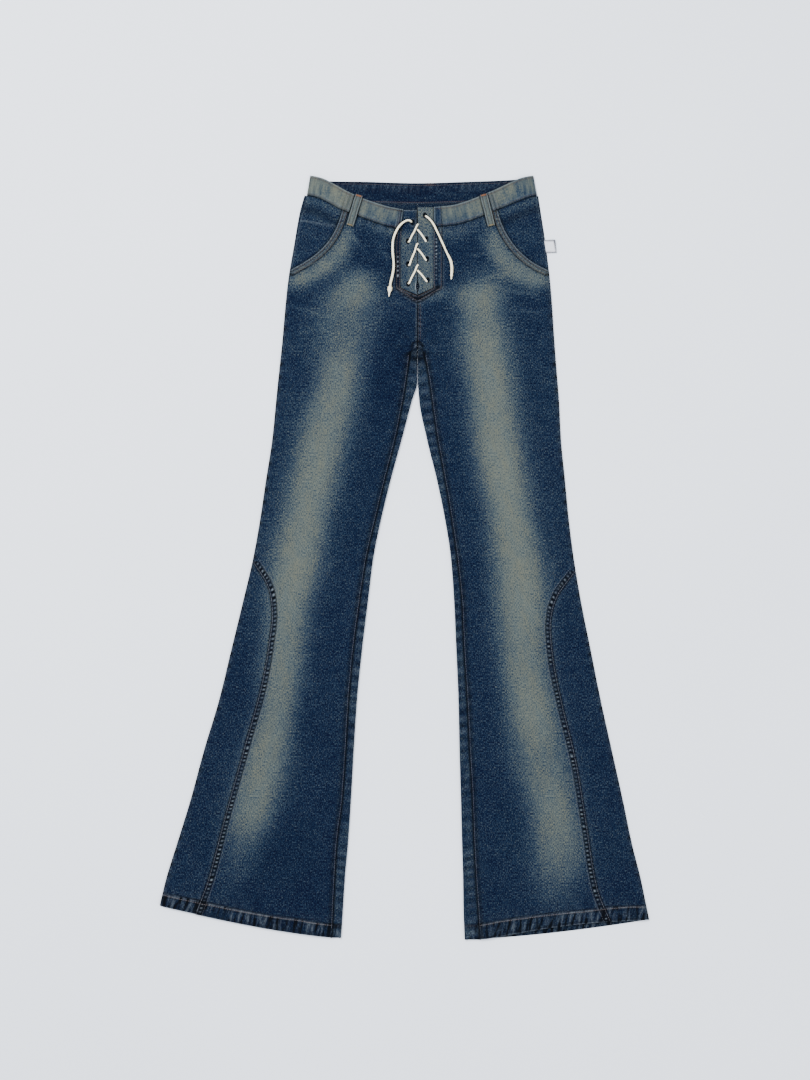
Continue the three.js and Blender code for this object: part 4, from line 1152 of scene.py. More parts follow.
# Points of one crossing: share of its way to the middle, then a step sideways, up the front and the height
strandRoutes = {
    "over": [(0, -0.0012, -0.0004, 0.0034), (0, 0.0002, 0.0004, 0.0056), (0.28, -0.0002, 0.0004, 0.0066),
             (0.64, 0, 0.0004, 0.0067), (1, -0.0012, -0.0006, 0.0064), (1, 0.0006, 0.0022, 0.0040)],
    "under": [(0, 0.0012, 0.0004, 0.0034), (0, 0.0002, 0.0008, 0.0054), (0.30, 0.0004, 0.0006, 0.0064),
              (0.66, 0.0004, 0.0004, 0.0062), (1, 0, 0, 0.0052), (1, -0.0014, 0.0016, 0.0040)],
}
for row, overX, overY, underX, underY in lace["crossings"]:
    rightX, rightY, leftX, leftY = lace["strandEnds"][row]
    for kind, startX, startY, endX, endY in (("over", rightX, rightY, overX, overY),
                                             ("under", leftX, leftY, underX, underY)):
        route = [(mix(startX, endX, share) + dx, mix(startY, endY, share) + dy, z)
                 for share, dx, dy, z in strandRoutes[kind]]
        title = f"lace{kind.capitalize()}{row}"
        strand = cordPiece(title, curveThrough(route, 7), lace["diameter"] * lace["slim"])
        ready(strand, laceCotton, "lace_cord", f"lace_{kind}_{row}")
print("lace ready")


# Painted shadow line that the laces cast on the cloth on both their sides
def laceShadowLine(x, y):
    line = np.zeros(x.shape)
    near = (x > -0.035) & (x < 0.080) & (y > 0.365)
    if near.any():
        for route in (endRight, endLeft):
            gap, _ = fromLine(route[::6, :2], x[near], y[near])
            line[near] = np.maximum(line[near], 0.55 * bell((gap - lace["diameter"] / 2 - 0.0006) / 0.0011))
    return line


# Legs


# Heights of a half's rows, at its inner edge and, tilted up, at its outer edge
def frontRows(half):
    hemInner = float(half["hemFront"](half["inseam"](-0.534)))
    hemOuter = float(half["hemFront"](half["panelSeam"](half["panelHem"])))
    topInner = float(half["waistSeam"](half["opening"](0.46)))
    topOuter = float(half["waistSeam"](half["scoopTopX"]))
    c = lines["crotchY"]
    turns = [c - 0.0005, c + 0.0005, lines["pointY"] + 0.0002, lines["shoulderY"]]
    y = rowsBetween(hemInner, topInner, extra=turns)
    t = np.clip((y - hemInner) / (topInner - hemInner), 0, 1)
    return y, y + mix(hemOuter - hemInner, topOuter - topInner, t), hemInner, topInner


# How far the lace panel's outline has turned in towards its point
def turnedIn(y):
    return np.clip((lines["shoulderY"] - y) / (lines["shoulderY"] - lines["pointY"]), 0, 1)


def frontInner(half, y):
    edge = mix(half["opening"](y), lines["centreX"], turnedIn(y))
    below = smooth((y - (lines["crotchY"] - 0.009)) / 0.009)
    return np.where(y > lines["crotchY"], edge, mix(half["inseam"](y), lines["centreX"], below))


def frontOuter(half, y):
    return np.where(y > half["scoopLow"], half["scoop"](y),
                    np.where(y > half["panelTop"], half["side"](y), half["panelSeam"](y)))


# Depth inside the stitched band round the opening, and distance from the opening's edge
def flyDepth(half, x, y):
    centre = lines["centreX"]
    reach = np.abs(x - centre)
    openReach = np.abs(half["opening"](y) - centre)
    bandReach = openReach + half["flyBand"]
    widest = abs(float(half["opening"](0.38)) - centre)
    slopeIn = (lines["shoulderY"] - lines["pointY"]) / widest
    slopeOut = (lines["outerShoulderY"] - lines["outerPointY"]) / (widest + half["flyBand"])
    rounded = (np.hypot(reach, 0.005) - 0.005) * 1.24
    inner = (lines["pointY"] + slopeIn * rounded - y) / math.hypot(1, slopeIn)
    outer = (y - lines["outerPointY"] - slopeOut * rounded) / math.hypot(1, slopeOut)
    return np.minimum(bandReach - reach, outer), np.maximum(reach - openReach, inner)


def seamLine(fn, low, high, step=0.004):
    y = np.linspace(low, high, max(2, int(abs(high - low) / step)))
    return np.stack([fn(y), y], 1)


# Front leg, sewn from its hem to the waistband seam
def makeFront(half):
    out = half["out"]
    y0, y1, hemInner, topInner = frontRows(half)
    x0 = frontInner(half, y0)
    x1 = frontOuter(half, y1)
    span = np.abs(x1 - x0)
    d = across(span, steps["inner"], steps["outer"], 30)
    u = d / span[:, None]
    x = mix(x0[:, None], x1[:, None], u)
    hem = half["hemFront"]
    seam = half["waistSeam"]
    hemShape = hem(x) - mix(hem(x0)[:, None], hem(x1)[:, None], u)
    waistShape = seam(x) - mix(seam(x0)[:, None], seam(x1)[:, None], u)
    hemFade = 1 - smooth((y0 - hemInner) / 0.180)[:, None]
    waistFade = smooth((y0 - 0.400) / (topInner - 0.400))[:, None]
    y = y0[:, None] + (y1 - y0)[:, None] * u + hemShape * hemFade + waistShape * waistFade
    under = underside(half, x, y)
    fields = blankFields(x.shape)
    fields["wash"] = washAt(half, x, y)
    if out < 0:
        fields["wash"] -= 0.13 * bell((x + 0.012) / 0.030) * bell((y - 0.265) / 0.085)
        fields["wash"] -= 0.05 * smooth((-0.30 - y) / 0.10)
    fromHem = y - y[:1]
    fromTop = y[-1:] - y
    fromOuter = span[:, None] - d
    top = under + cloth["wall"]
    ripple = 0.00022 * cloudy(x / 0.034, y / 0.052, 2 + out) + 0.00010 * cloudy(x / 0.013, y / 0.019, 5)
    calm = smooth(d / 0.020) * smooth(fromOuter / 0.020) * smooth(fromHem / 0.030)
    top = top + ripple * calm

    # felled seam at the side panel
    near, along = fromLine(seamLine(half["panelSeam"], half["panelTop"], -0.531), x, y)
    low = smooth((half["panelTop"] + 0.006 - y) / 0.006)
    near = near + (1 - low) * 0.05
    inBand = smooth((lines["panelFell"] - near) / cloth["step"])
    top = top + cloth["fell"] * inBand
    fields["wash"] = mix(fields["wash"], 0.55 * fields["wash"] - 0.14, inBand)
    fields["dark"] += 0.22 * inBand
    top = gather("panel", fields, top, along, near, inBand)
    top = gather("panelFold", fields, top, along, near, low, 1, 1)
    paint(fields, "panel", near)

    # pocket edge: a worn band with a pale rim
    near, along = fromLine(half["scoopLine"][::4], x, y)
    inBand = smooth((lines["fellWidth"] + 0.0002 - near) / cloth["step"])
    top = top + cloth["fell"] * inBand
    top = gather("pocket", fields, top, along, near, inBand)
    fields["rust"] += 0.08 * inBand
    fields["wash"] += half["pocketWash"] * inBand * (1 - 0.75 * fields["wash"])
    paint(fields, "pocket", near)

    # stitched band round the lacing
    depth, fromEdge = flyDepth(half, x, y)
    inBand = smooth(depth / cloth["step"]) * smooth((y - lines["outerPointY"] + 0.002) / 0.002)
    top = top + cloth["fell"] * inBand
    ticks = smooth((y - 0.386) / 0.006) * smooth((half["ticksTop"] - y) / 0.006)
    top = gather("fly" + half["label"], fields, top, y, fromEdge, inBand * ticks, 1.4, 1)
    bottomBand = inBand * smooth((0.384 - y) / 0.006)
    upright = inBand - bottomBand
    threadRows = bell((depth - 0.0018) / 0.0008) + bell((fromEdge - 0.0022) / 0.0008)
    fields["rust"] += 0.28 * bottomBand * threadRows
    fields["wear"] += 0.42 * bottomBand * threadRows
    fields["dark"] += half["flyDark"] * upright + 0.95 * bottomBand * (1 - np.clip(threadRows, 0, 1))
    fields["wash"] += half["flyWash"] * upright
    paint(fields, "flyOuter", depth)
    paint(fields, "flyBottom", depth, bottomBand)
    paint(fields, "flyUpright", fromEdge, upright)
    paint(fields, "flyInner", fromEdge, inBand)
    paint(fields, "flyRim", fromEdge, smooth((y - 0.372) / 0.01))

    # seam from the lacing to the crotch, where the seams meet in a small puckered round
    below = smooth((lines["outerPointY"] - y) / 0.002) * smooth((y - lines["crotchY"] + 0.004) / 0.004)
    if out > 0:
        top = top + 0.0005 * smooth((lines["centreFell"] - d) / 0.0008) * below
        top = gather("centre", fields, top, y, d, below)
    paint(fields, "centre" + half["label"], d, below)
    reach = np.hypot(x - crotch["x"], y - crotch["y"])
    top = top + 0.0007 * bell(reach / 0.0055) - 0.0004 * bell((reach - 0.0085) / 0.0018)
    # painted shade in the groove round the dome; the dome darker and with a worn ring
    paint(fields, "crotch", reach)
    pull = np.sin(np.arctan2(y - crotch["y"], x - crotch["x"]) * 9 + 2.0) * bell((reach - 0.020) / 0.012)
    top = top + 0.00025 * pull
    fields["dark"] += 0.18 * np.clip(-pull, 0, 1)

    # inseam, hem, waist and side
    leg = smooth((lines["crotchY"] - 0.004 - y) / 0.006)
    top = gather("inseam", fields, top, y, d, leg)
    paint(fields, "inseam", d, leg)
    top = hemmed(half, fields, top, x, fromHem, 0)
    band = gather("waist", fields, top, x, fromTop)
    top = np.where(fromTop < 0.03, band, top)
    paint(fields, "belowWaist", fromTop)
    fields["dark"] += loopShadowLine(half, x, y) + laceShadowLine(x, y)
    sideEdge = smooth((y1 - half["panelTop"]) / 0.004) * smooth((half["scoopLow"] - y1) / 0.004)
    sideEdge = sideEdge[:, None]
    paint(fields, "sideRim", fromOuter, sideEdge)
    top = scalloped(fields, top, y, fromOuter + 0.05 * (1 - sideEdge))
    place = np.stack([x - half["fadeX"](np.clip(y, -0.5, 0.38)), y], -1)
    edge = nearest(d, fromOuter, fromHem, fromTop)
    return shellFrom("front" + half["label"], x, y, top, under, edge, fields, place)


def makeSidePanel(half):
    out = half["out"]
    _, y1, _, _ = frontRows(half)
    y0 = y1[y1 < half["panelTop"] - 0.001]
    hemLow = y0[0]
    hemSide = float(half["hemFront"](half["side"](-0.5)))
    tilt = (hemSide - hemLow) * (1 - smooth((y0 - hemLow) / 0.300))
    tuck = 0.0018
    x0 = half["panelSeam"](y0) - out * tuck
    x1 = half["side"](y0 + tilt)
    span = np.maximum((x1 - x0) * out, tuck + 0.0006)
    d = across(span, steps["panel"], steps["panelSide"], 12)
    x = x0[:, None] + out * d
    y = y0[:, None] + tilt[:, None] * (d / span[:, None])
    under = underside(half, x, y)
    fields = blankFields(x.shape)
    fields["wash"] = half["panelWash"] * washAt(half, x, y)
    fromHem = y - y[:1]
    fromOuter = span[:, None] - d
    calm = smooth(d / 0.015) * smooth(fromOuter / 0.015) * smooth(fromHem / 0.03)
    top = under + cloth["wall"] + 0.00018 * cloudy(x / 0.03, y / 0.05, 8) * calm
    near, along = fromLine(seamLine(half["panelSeam"], half["panelTop"], -0.531), x, y)
    beyond = (x - half["panelSeam"](y0)[:, None]) * out
    dip = 0.0011 * smooth((0.0006 - beyond) / 0.0018)
    top = gather("panelSide", fields, top, along, near + 0.004)
    paint(fields, "panelSide", near)
    top = hemmed(half, fields, top, x, fromHem, 7)
    top = scalloped(fields, top, y, fromOuter)
    paint(fields, "sideRim", fromOuter)
    place = np.stack([(x - half["fadeX"](np.clip(y, -0.5, 0.38))) * 0.98 + 0.013, y], -1)
    edge = nearest(d, fromOuter, fromHem, y[-1:] - y)
    return shellFrom("sidePanel" + half["label"], x, y, top - dip, under - dip, edge, fields, place)


# Back: one layer on the floor, folded up and over the leg's inner edge to the inseam
def makeBack(half):
    inward = -half["out"]
    crotchY = lines["crotchY"]
    hemLow = float(half["hemBack"](half["fold"](-0.533))) + 0.0001
    seatTop = through(waistBack["x"], waistBack["seam"])
    y0 = np.concatenate([rowsBetween(hemLow, crotchY - 0.001), np.arange(crotchY + 0.001, 0.4945, 0.004),
                         [0.4948, 0.4951, 0.4953]])
    isLeg = y0 < crotchY
    inseam = half["inseam"](np.minimum(y0, crotchY))
    edge = np.where(isLeg, half["fold"](np.minimum(y0, crotchY)), lines["centreX"] - inward * 0.0001)
    height = underside(half, edge - inward * 0.003, y0) + cloth["wall"]
    radius = np.where(isLeg, height / 2, 0.0)
    start = edge - inward * radius

    # the layer on the floor
    hemSide = float(half["hemBack"](half["side"](-0.5)))
    hemFade = 1 - smooth((y0 - hemLow) / 0.180)
    sideX = half["side"](y0 + (hemSide - hemLow) * hemFade)
    d = across(np.abs(start - sideX), steps["floor"], steps["floorFold"], 12)
    x = sideX[:, None] + inward * d
    waistFade = smooth((y0 - 0.330) / 0.165)[:, None]
    y = y0[:, None] + (half["hemBack"](x) - hemLow) * hemFade[:, None] + (seatTop(x) - 0.4955) * waistFade
    fromHem = y - y[:1]
    cut = roundOff(nearest(d, fromHem, y[-1:] - y), cloth["wall"])
    outerFloor = np.stack([x, y, 0 * x], -1)
    innerFloor = np.stack([x, y, cloth["wall"] - cut + 0 * x], -1)
    fieldsFloor = blankFields(x.shape)
    fieldsFloor["wash"] += 0.10 + 0.05 * cloudy(x / 0.03, y / 0.03, 4)
    # painted shade, as this layer lies under the front
    fieldsFloor["dark"] += 0.28
    inHem = smooth((half["hemDepth"](x) - fromHem) / 0.001)
    fieldsFloor["rib"] += inHem
    gather("hemBack", fieldsFloor, 0, x, fromHem, inHem, 1, 1)

    # round the fold and on to the inseam
    turned = []
    small = radius - cloth["wall"]
    for angle in np.linspace(0, np.pi, 11)[1:]:
        reach = math.sin(angle)
        turned.append((edge - inward * radius * (1 - reach), radius * (1 - math.cos(angle)),
                       edge - inward * (radius - small * reach), radius - small * math.cos(angle)))
    seamX = inseam - inward * 0.0022
    for share in (0.12, 0.25, 0.38, 0.5, 0.62, 0.73, 0.82, 0.89, 0.94, 0.975, 1.0):
        sx = mix(start, seamX, share)
        under = underside(half, sx, y0)
        beyond = (half["inseam"](y0) - inward * 0.0006 - sx) * -inward
        dip = 0.0013 * smooth((beyond + 0.0004) / 0.0016)
        turned.append((sx, (under + cloth["wall"] - dip) * isLeg, sx, (under - dip) * isLeg))
    foldX, foldZ, foldInnerX, foldInnerZ = (np.stack(column, 1) for column in zip(*turned))
    foldY = np.repeat(y0[:, None], foldX.shape[1], 1)
    fields = blankFields(foldX.shape)
    fromSeam = np.abs(foldX - inseam[:, None])
    fromHem = foldY - hemLow
    leg = smooth((crotchY - 0.004 - foldY) / 0.006)
    raised = gather("strip", fields, 0, foldY, fromSeam, leg, 1, 1)
    foldZ = foldZ + raised * np.clip((foldZ - 0.0025) / 0.002, 0, 1)
    paint(fields, "inseamFold", fromSeam, leg)
    fields["wash"] += 0.10 + 0.12 * cloudy(foldX / 0.01, foldY / 0.02, 9)
    # painted shade: darker low on the rounded fold, and towards the crotch where the folds lie in shadow
    fields["dark"] += 0.25 * smooth((0.0032 - foldZ) / 0.003)
    fields["dark"] += 0.55 * smooth((foldY - (crotchY - 0.040)) / 0.035)
    hemDeep = half["hemDepth"](foldX)
    inHem = smooth((hemDeep - fromHem) / cloth["step"])
    foldZ = foldZ + 0.0004 * inHem * np.clip((foldZ - 0.0030) / 0.0015, 0, 1)
    gather("hemFold", fields, 0, foldX, fromHem, inHem, 1, 1)
    fields["rib"] += 0.7 * inHem
    paint(fields, "hemStitchFold", fromHem - hemDeep)
    cut = roundOff(np.minimum(fromHem, np.abs(foldX - seamX[:, None])), cloth["wall"])
    outerFold = np.stack([foldX, foldY, np.maximum(foldZ - cut, 0)], -1)
    innerFold = np.stack([foldInnerX, foldY, foldInnerZ + cut * 0.5], -1)

    # both joined as one sheet, open above the crotch
    outer = np.concatenate([outerFloor, outerFold], 1)
    inner = np.concatenate([innerFloor, innerFold], 1)
    fields = {key: np.concatenate([fieldsFloor[key], fields[key]], 1) for key in fields}
    cells = np.ones((len(y0) - 1, outer.shape[1] - 1), bool)
    cells[int(isLeg.sum()) - 1:, x.shape[1] - 1:] = False
    place = np.stack([outer[..., 0] + 0.7 * outer[..., 2], outer[..., 1] + 0.21], -1)
    piece = clothPiece("back" + half["label"], outer, inner, fields, place, cells)
    surfaces.append((inner.reshape(-1, 3), surfaces[-1][1]))
    return piece


# Facing seen inside the pocket, a step below the front
def makeFacing(half):
    out = half["out"]
    _, y1, _, _ = frontRows(half)
    y0 = y1[y1 > half["scoopLow"] + 0.0012]
    t = (y0 - y0[0]) / (y0[-1] - y0[0])
    yEnd = y0 + (float(half["band"]["seamY"](0)) - y0[-1]) * t
    tuck = 0.0030
    x0 = half["scoop"](y0) - out * tuck
    x1 = half["side"](yEnd)
    span = np.maximum((x1 - x0) * out, tuck + 0.0006)
    d = across(span, steps["facing"], steps["facingSide"], 12)
    u = d / span[:, None]
    x = x0[:, None] + out * d
    seam = half["waistSeam"]
    waistShape = seam(x) - mix(seam(x0)[:, None], seam(x1)[:, None], u)
    y = mix(y0[:, None], yEnd[:, None], u) + waistShape * t[:, None]
    beyond = (x - half["scoop"](y0)[:, None]) * out
    dip = 0.0008 * smooth((0.0022 - beyond) / 0.0035)
    under = np.maximum(cloth["edge"], underside(half, x, y) - cloth["facingDrop"]) - dip
    top = under + cloth["wall"] + 0.00015 * cloudy(x / 0.016, y / 0.02, 6) * smooth(d / 0.01)
    fromTop = y[-1:] - y
    fromOuter = span[:, None] - d
    near, _ = fromLine(half["scoopLine"][::4], x, y)
    fields = blankFields(x.shape)
    fields["wash"] += half["facingWash"] + 0.08 * cloudy(x / 0.02, y / 0.012, 3)
    # painted shade where the facing runs under the front's pocket edge
    fields["dark"] += 0.55 * smooth((0.0045 - near) / 0.0045)
    paint(fields, "facingTop", fromTop)
    paint(fields, "facingSide", fromOuter)
    if out < 0:
        fields["wear"] += 0.32 * bell((y - mix(0.4635, 0.4725, u)) / 0.0011)
    return shellFrom("pocketFacing" + half["label"], x, y, top, under,
                     nearest(fromOuter, fromTop, y - y[:1] + 0.001), fields, np.stack([x + 0.4, y + 0.3], -1))


# Upright joins beside the belt loops: X at the seam and at the top edge
waistJoins = {
    "right": [(-0.0800, -0.0716), (-0.0862, -0.0778)],
    "left": [(0.1262, 0.1178), (0.1318, 0.1232)],
}

# Shares of a strip's length or depth at which its grid has lines
shares = {
    "bandEnds": [0.0012, 0.003, 0.006, 0.994, 0.997, 0.9988],
    "band": [0, 0.008, 0.02, 0.035, 0.055, 0.08, 0.11, 0.15, 0.2, 0.26, 0.33, 0.4, 0.47, 0.54, 0.61,
             0.68, 0.75, 0.81, 0.86, 0.9, 0.93, 0.952, 0.97, 0.983, 0.993, 1.0],
    "backBand": [0, 0.008, 0.02, 0.04, 0.07, 0.11, 0.16, 0.22, 0.3, 0.38, 0.46, 0.54, 0.61, 0.67, 0.73,
                 0.78, 0.82, 0.86, 0.89, 0.92, 0.945, 0.965, 0.98, 0.992, 1.0],
    "loopEnds": [0.004, 0.01, 0.02, 0.98, 0.99, 0.996],
    "loop": [-0.5, -0.48, -0.45, -0.41, -0.36, -0.3, -0.24, -0.18, -0.1, 0, 0.1, 0.18, 0.24, 0.3,
             0.36, 0.41, 0.45, 0.48, 0.5],
}


# Waistband half: two layers pressed flat, folded at its top
def makeWaistband(half):
    band = half["band"]
    a = np.unique(np.concatenate([np.linspace(0, 1, 150), shares["bandEnds"]]))[:, None]
    v = np.array(shares["band"])[None]
    x = mix(band["seamX"](a), band["topX"](a), v)
    y = mix(band["seamY"](a), band["topY"](a), v)
    deep = np.hypot(band["topX"](a) - band["seamX"](a), band["topY"](a) - band["seamY"](a))
    fromSeam = v * deep
    fromTop = (1 - v) * deep
    long = lineLength(np.stack([x[:, 0], y[:, 0]], 1))
    fromSide = a * long + 0 * v
    fromEnd = (1 - a) * long + 0 * v
    under = underside(half, x, y)
    fields = blankFields(x.shape)
    top = under + cloth["band"]
    streaks = cloudy(fromSide / 0.0045 + 0.6 * v, v * 0.9, 21) * 0.12
    streaks = streaks + cloudy(fromSide / 0.018, v * 1.4, 22) * 0.17
    fields["wash"] += 0.76 + streaks
    if half["out"] > 0:
        paint(fields, "bandSeamLeft", fromSeam)
        fields["wash"] -= 0.10 * smooth((fromEnd - 0.085) / 0.04) + 0.03 * smooth((0.070 - fromEnd) / 0.02)
        fields["wash"] -= 0.40 * smooth((half["endSeam"] - fromEnd) / 0.001)
    else:
        fields["wash"] += 0.10 - 0.12 * smooth((fromSide - 0.055) / 0.04)
        corner = smooth((0.034 - fromEnd) / 0.022)
        fields["wash"] -= corner * (0.14 + 0.40 * smooth((0.013 - fromSeam) / 0.010))
        paint(fields, "bandFold", fromEnd)
        paint(fields, "bandFoldDark", fromEnd, smooth((fromTop - 0.001) / 0.002))
        paint(fields, "bandTopCorner", fromTop, smooth((0.05 - fromEnd) / 0.03))
        paint(fields, "bandFoldPale", fromEnd, smooth((0.019 - fromSeam) / 0.003))
    top = gather("band", fields, top, fromSide, fromSeam)
    top = gather("bandTop", fields, top, fromSide, fromTop, 1.0, 1, 1)
    top = top + 0.00015 * cloudy(fromSide / 0.012, v * 2.2, 24)
    paint(fields, "bandSeam", fromSeam)
    paint(fields, "bandTop", fromTop)
    for atSeam, atTop in waistJoins[half["name"]]:
        fromJoin = np.abs(x - mix(atSeam, atTop, v))
        top = top + 0.00035 * bell(fromJoin / 0.0011)
        paint(fields, "join", fromJoin)

    # the end at the lacing is rolled over
    top = top + 0.0004 * bell((fromEnd - 0.0022) / 0.0018)
    paint(fields, "bandEnd", fromEnd)
    paint(fields, "endSeam", fromEnd - half["endSeam"])
    fields["dark"] += laceShadowLine(x, y) + loopShadowLine(half, x, y)
    edge = nearest(fromSide, fromEnd, fromSeam, fromTop)
    return shellFrom("waistband" + half["label"], x, y, top, under, edge, fields,
                     np.stack([fromSide + 0.9, fromSeam + 0.5], -1))


# Back waistband, seen from inside
def makeBackBand():
    seam = through(waistBack["x"], waistBack["seam"])
    topLine = through(waistBack["x"], waistBack["top"])
    first, last = waistBack["x"][0], waistBack["x"][-1]
    xs = rowsBetween(first, last, 240)
    v = np.array(shares["backBand"])[None]
    shortened = mix(first + waistBack["slant"], last - waistBack["slant"], (xs - first) / (last - first))
    x = mix(xs[:, None], shortened[:, None], v)
    y = mix(seam(x), topLine(x), v)
    fromSeam = y - seam(x)
    fromTop = topLine(x) - y
    fields = blankFields(x.shape)
    fields["wash"] += 0.17 * cloudy(x / 0.012, y / 0.005, 31) - 0.05
    # painted shade inside the waistband
    fields["dark"] += 0.14
    patchy = 0.55 + 0.45 * wobble(x / 0.022, 37)
    drift = x + 0.004 * wobble(x / 0.03, 35)
    top = gather("backTop", fields, cloth["wall"] + 0 * x, drift, fromTop, patchy)
    top = gather("backFine", fields, top, x, fromTop, patchy, 1, 1)
    paint(fields, "backTop", fromTop)
    paint(fields, "backSeam", fromSeam)
    fields["rust"] += 0.9 * bell((x - 0.0357) / 0.006) * bell((y - 0.5235) / 0.002)
    edge = nearest((xs - xs[0])[:, None], (xs[-1] - xs)[:, None], fromSeam, fromTop)
    outer = np.stack([x, y, top - roundOff(edge, cloth["wall"])], -1)
    inner = np.stack([x, y, 0 * x], -1)
    return clothPiece("waistbandBack", outer, inner, fields, np.stack([x + 1.7, y], -1))


# Lace panel half with worked holes, a fine grid whose holes are rounded off
def makeLacePanel(half):
    out = half["out"]
    slit = lines["centreX"] + out * 0.0002
    step = 0.00055
    low = lines["pointY"] + 0.0006
    high = half["lacePanelTop"]
    y0 = rowsBetween(low, high, int((high - low) / step))
    x1 = mix(half["opening"](y0), lines["centreX"], turnedIn(y0)) + out * 0.0010
    span = np.maximum((x1 - slit) * out, 0.0012)[:, None]
    u = np.linspace(0, 1, int(span.max() / step))[None]
    d = np.concatenate([np.minimum([steps["slit"]], span * 0.2), span * (0.06 + 0.94 * u)], 1)
    d = np.sort(d, axis=1)
    y = y0[:, None] + 0 * d

    # the slit's edges part a little at its foot
    part = bell((y - 0.3795) / 0.0052)
    x = slit + out * d
    x = x + out * 0.0015 * part * bell(d / 0.003)
    keep = np.ones((x.shape[0] - 1, x.shape[1] - 1), bool)
    middleX = (x[:-1, :-1] + x[1:, 1:]) / 2
    middleY = (y[:-1, :-1] + y[1:, 1:]) / 2
    nearHole = np.full(x.shape, 1.0)
    wide, tall = lace["eyeletReach"]
    first = 0 if out < 0 else 2
    for cx, cy in (row[first:first + 2] for row in lace["eyelets"]):
        keep &= np.hypot((middleX - cx) / wide, (middleY - cy) / tall) > 1
        size = np.hypot((x - cx) / wide, (y - cy) / tall)
        push = np.where(size < 1.32, np.clip(size, 1.0, None) / np.maximum(size, 1e-6), 1)
        x = cx + (x - cx) * push
        y = cy + (y - cy) * push
        size = np.hypot((x - cx) / wide, (y - cy) / tall)
        nearHole = np.minimum(nearHole, np.clip((size - 1) * wide, 0, 1))
    under = cloth["rest"] + 0 * x
    top = under + cloth["wall"] + 0.00022 * cloudy(x / 0.007, y / 0.011, 43)
    fields = blankFields(x.shape)
    fields["wash"] += half["laceWash"] + 0.12 * cloudy(x / 0.007, y / 0.016, 41)
    if out < 0:
        # darker towards the top, with painted shade beside the slit between the halves
        shade = smooth((y - 0.448) / 0.016)
        fields["wash"] -= shade * (0.40 - 0.26 * bell((x - 0.0015) / 0.0045) * bell((y - 0.478) / 0.007))
        fields["dark"] += 0.42 * shade * bell(d / 0.0040)
        fields["wear"] += 0.60 * bell((high - y - 0.0008) / 0.0008)
    else:
        fields["wash"] += 0.26 * smooth((y - (high - 0.030)) / 0.020)
    top = top + 0.00055 * bell((nearHole - 0.0006) / 0.0006) + 0.0005 * bell((d - 0.0012) / 0.0010)
    # painted shade inside each eyelet's rim, and a worn ring round it
    paint(fields, "eyelet", nearHole)
    paint(fields, "slit", d)
    slitShadeWidth, rimAt, rimWear = half["slit"]
    # painted shade in the slit between the two halves, widest where its edges part
    fields["dark"] += mix(0.55, 1.3, part) * bell(d / mix(0.0008, slitShadeWidth, part))
    fields["wear"] += rimWear * part * bell((d - rimAt) / 0.0008)
    # painted shade where the outer edge runs under the stitched band, and the laces' painted shadow
    fields["dark"] += 0.60 * smooth((0.0022 - (span - d)) / 0.002) + laceShadowLine(x, y)
    dip = 0.0009 * smooth((0.0026 - (span - d)) / 0.0022)
    edge = nearest(d, 0.0004 + nearHole, y0[:, None] - low, high - y0[:, None])
    return shellFrom("lacePanel" + half["label"], x, y, top - dip, under - dip, edge, fields,
                     np.stack([x + 2.1, y], -1), keep)


# Belt loop: a folded strip with two stitched channels, laid over the waistband
def makeBeltLoop(half):
    (topX, topY), (footX, footY) = beltLoops[half["name"]]
    t = np.unique(np.concatenate([np.linspace(0, 1, 62), shares["loopEnds"]]))[:, None]
    side = np.array(shares["loop"])[None]
    length = math.hypot(footX - topX, footY - topY)
    w = beltLoops["width"] * (1 + 0.03 * wobble(t * 6, 51))
    middleX = mix(topX, footX, t)
    middleY = mix(topY, footY, t)
    x = middleX - (footY - topY) / length * w * side
    y = middleY + (footX - topX) / length * w * side
    onBand = mix(cloth["band"], cloth["wall"] + 0.0003, smooth((t - 0.72) / 0.16))
    bow = 0.0006 * np.sin(np.pi * np.clip(t / 0.8, 0, 1))
    under = underside(half, middleX, middleY) + onBand + 0.0003 + bow + 0 * side
    fromSide = (0.5 - np.abs(side)) * w
    fromEnd = np.minimum(t, 1 - t) * length + 0 * side
    top = under + beltLoops["thickness"]
    top = top - 0.00035 * bell((fromSide - 0.0021) / 0.0006) + 0.0002 * bell((fromSide - 0.0008) / 0.0006)
    fields = blankFields(x.shape)
    fields["wash"] += 0.86 + 0.22 * cloudy(side * 5, t * 9, 52)
    paint(fields, "loopSide", fromSide)
    paint(fields, "loopEnd", fromEnd)
    paint(fields, "loopTop", t * length)
    return shellFrom("beltLoop" + half["label"], x, y, top, under, np.minimum(fromSide, fromEnd), fields,
                     np.stack([side * w + 0 * t + 3.1, t * length + 0 * side], -1))


makers = {"front": makeFront, "side_panel": makeSidePanel, "back": makeBack, "pocket_facing": makeFacing,
          "waistband": makeWaistband, "lace_panel": makeLacePanel, "belt_loop": makeBeltLoop}
made = {}
for half in (right, left):
    for part, make in makers.items():
        made[part, half["name"]] = make(half)
    print(half["name"], "half ready")
made["waistband", "back"] = makeBackBand()
for (part, name), piece in made.items():
    isPale = part in ("waistband", "belt_loop") and name != "back"
    cloths = (paleDenim, "washed_denim") if isPale else (denim, "denim")
    ready(piece, *cloths, f"{part}_{name}")

# One surface of all the cloth, for laying stitches on it
offsets = np.cumsum([0] + [len(points) for points, _ in surfaces])
clothTree = BVHTree.FromPolygons(
    np.concatenate([points for points, _ in surfaces]).tolist(),
    np.concatenate([faces + offset for (_, faces), offset in zip(surfaces, offsets)]).tolist())


def clothHeight(x, y):
    hit = clothTree.ray_cast(Vector((x, y, 0.05)), Vector((0, 0, -1)))
    return hit[0].z if hit[0] is not None else None


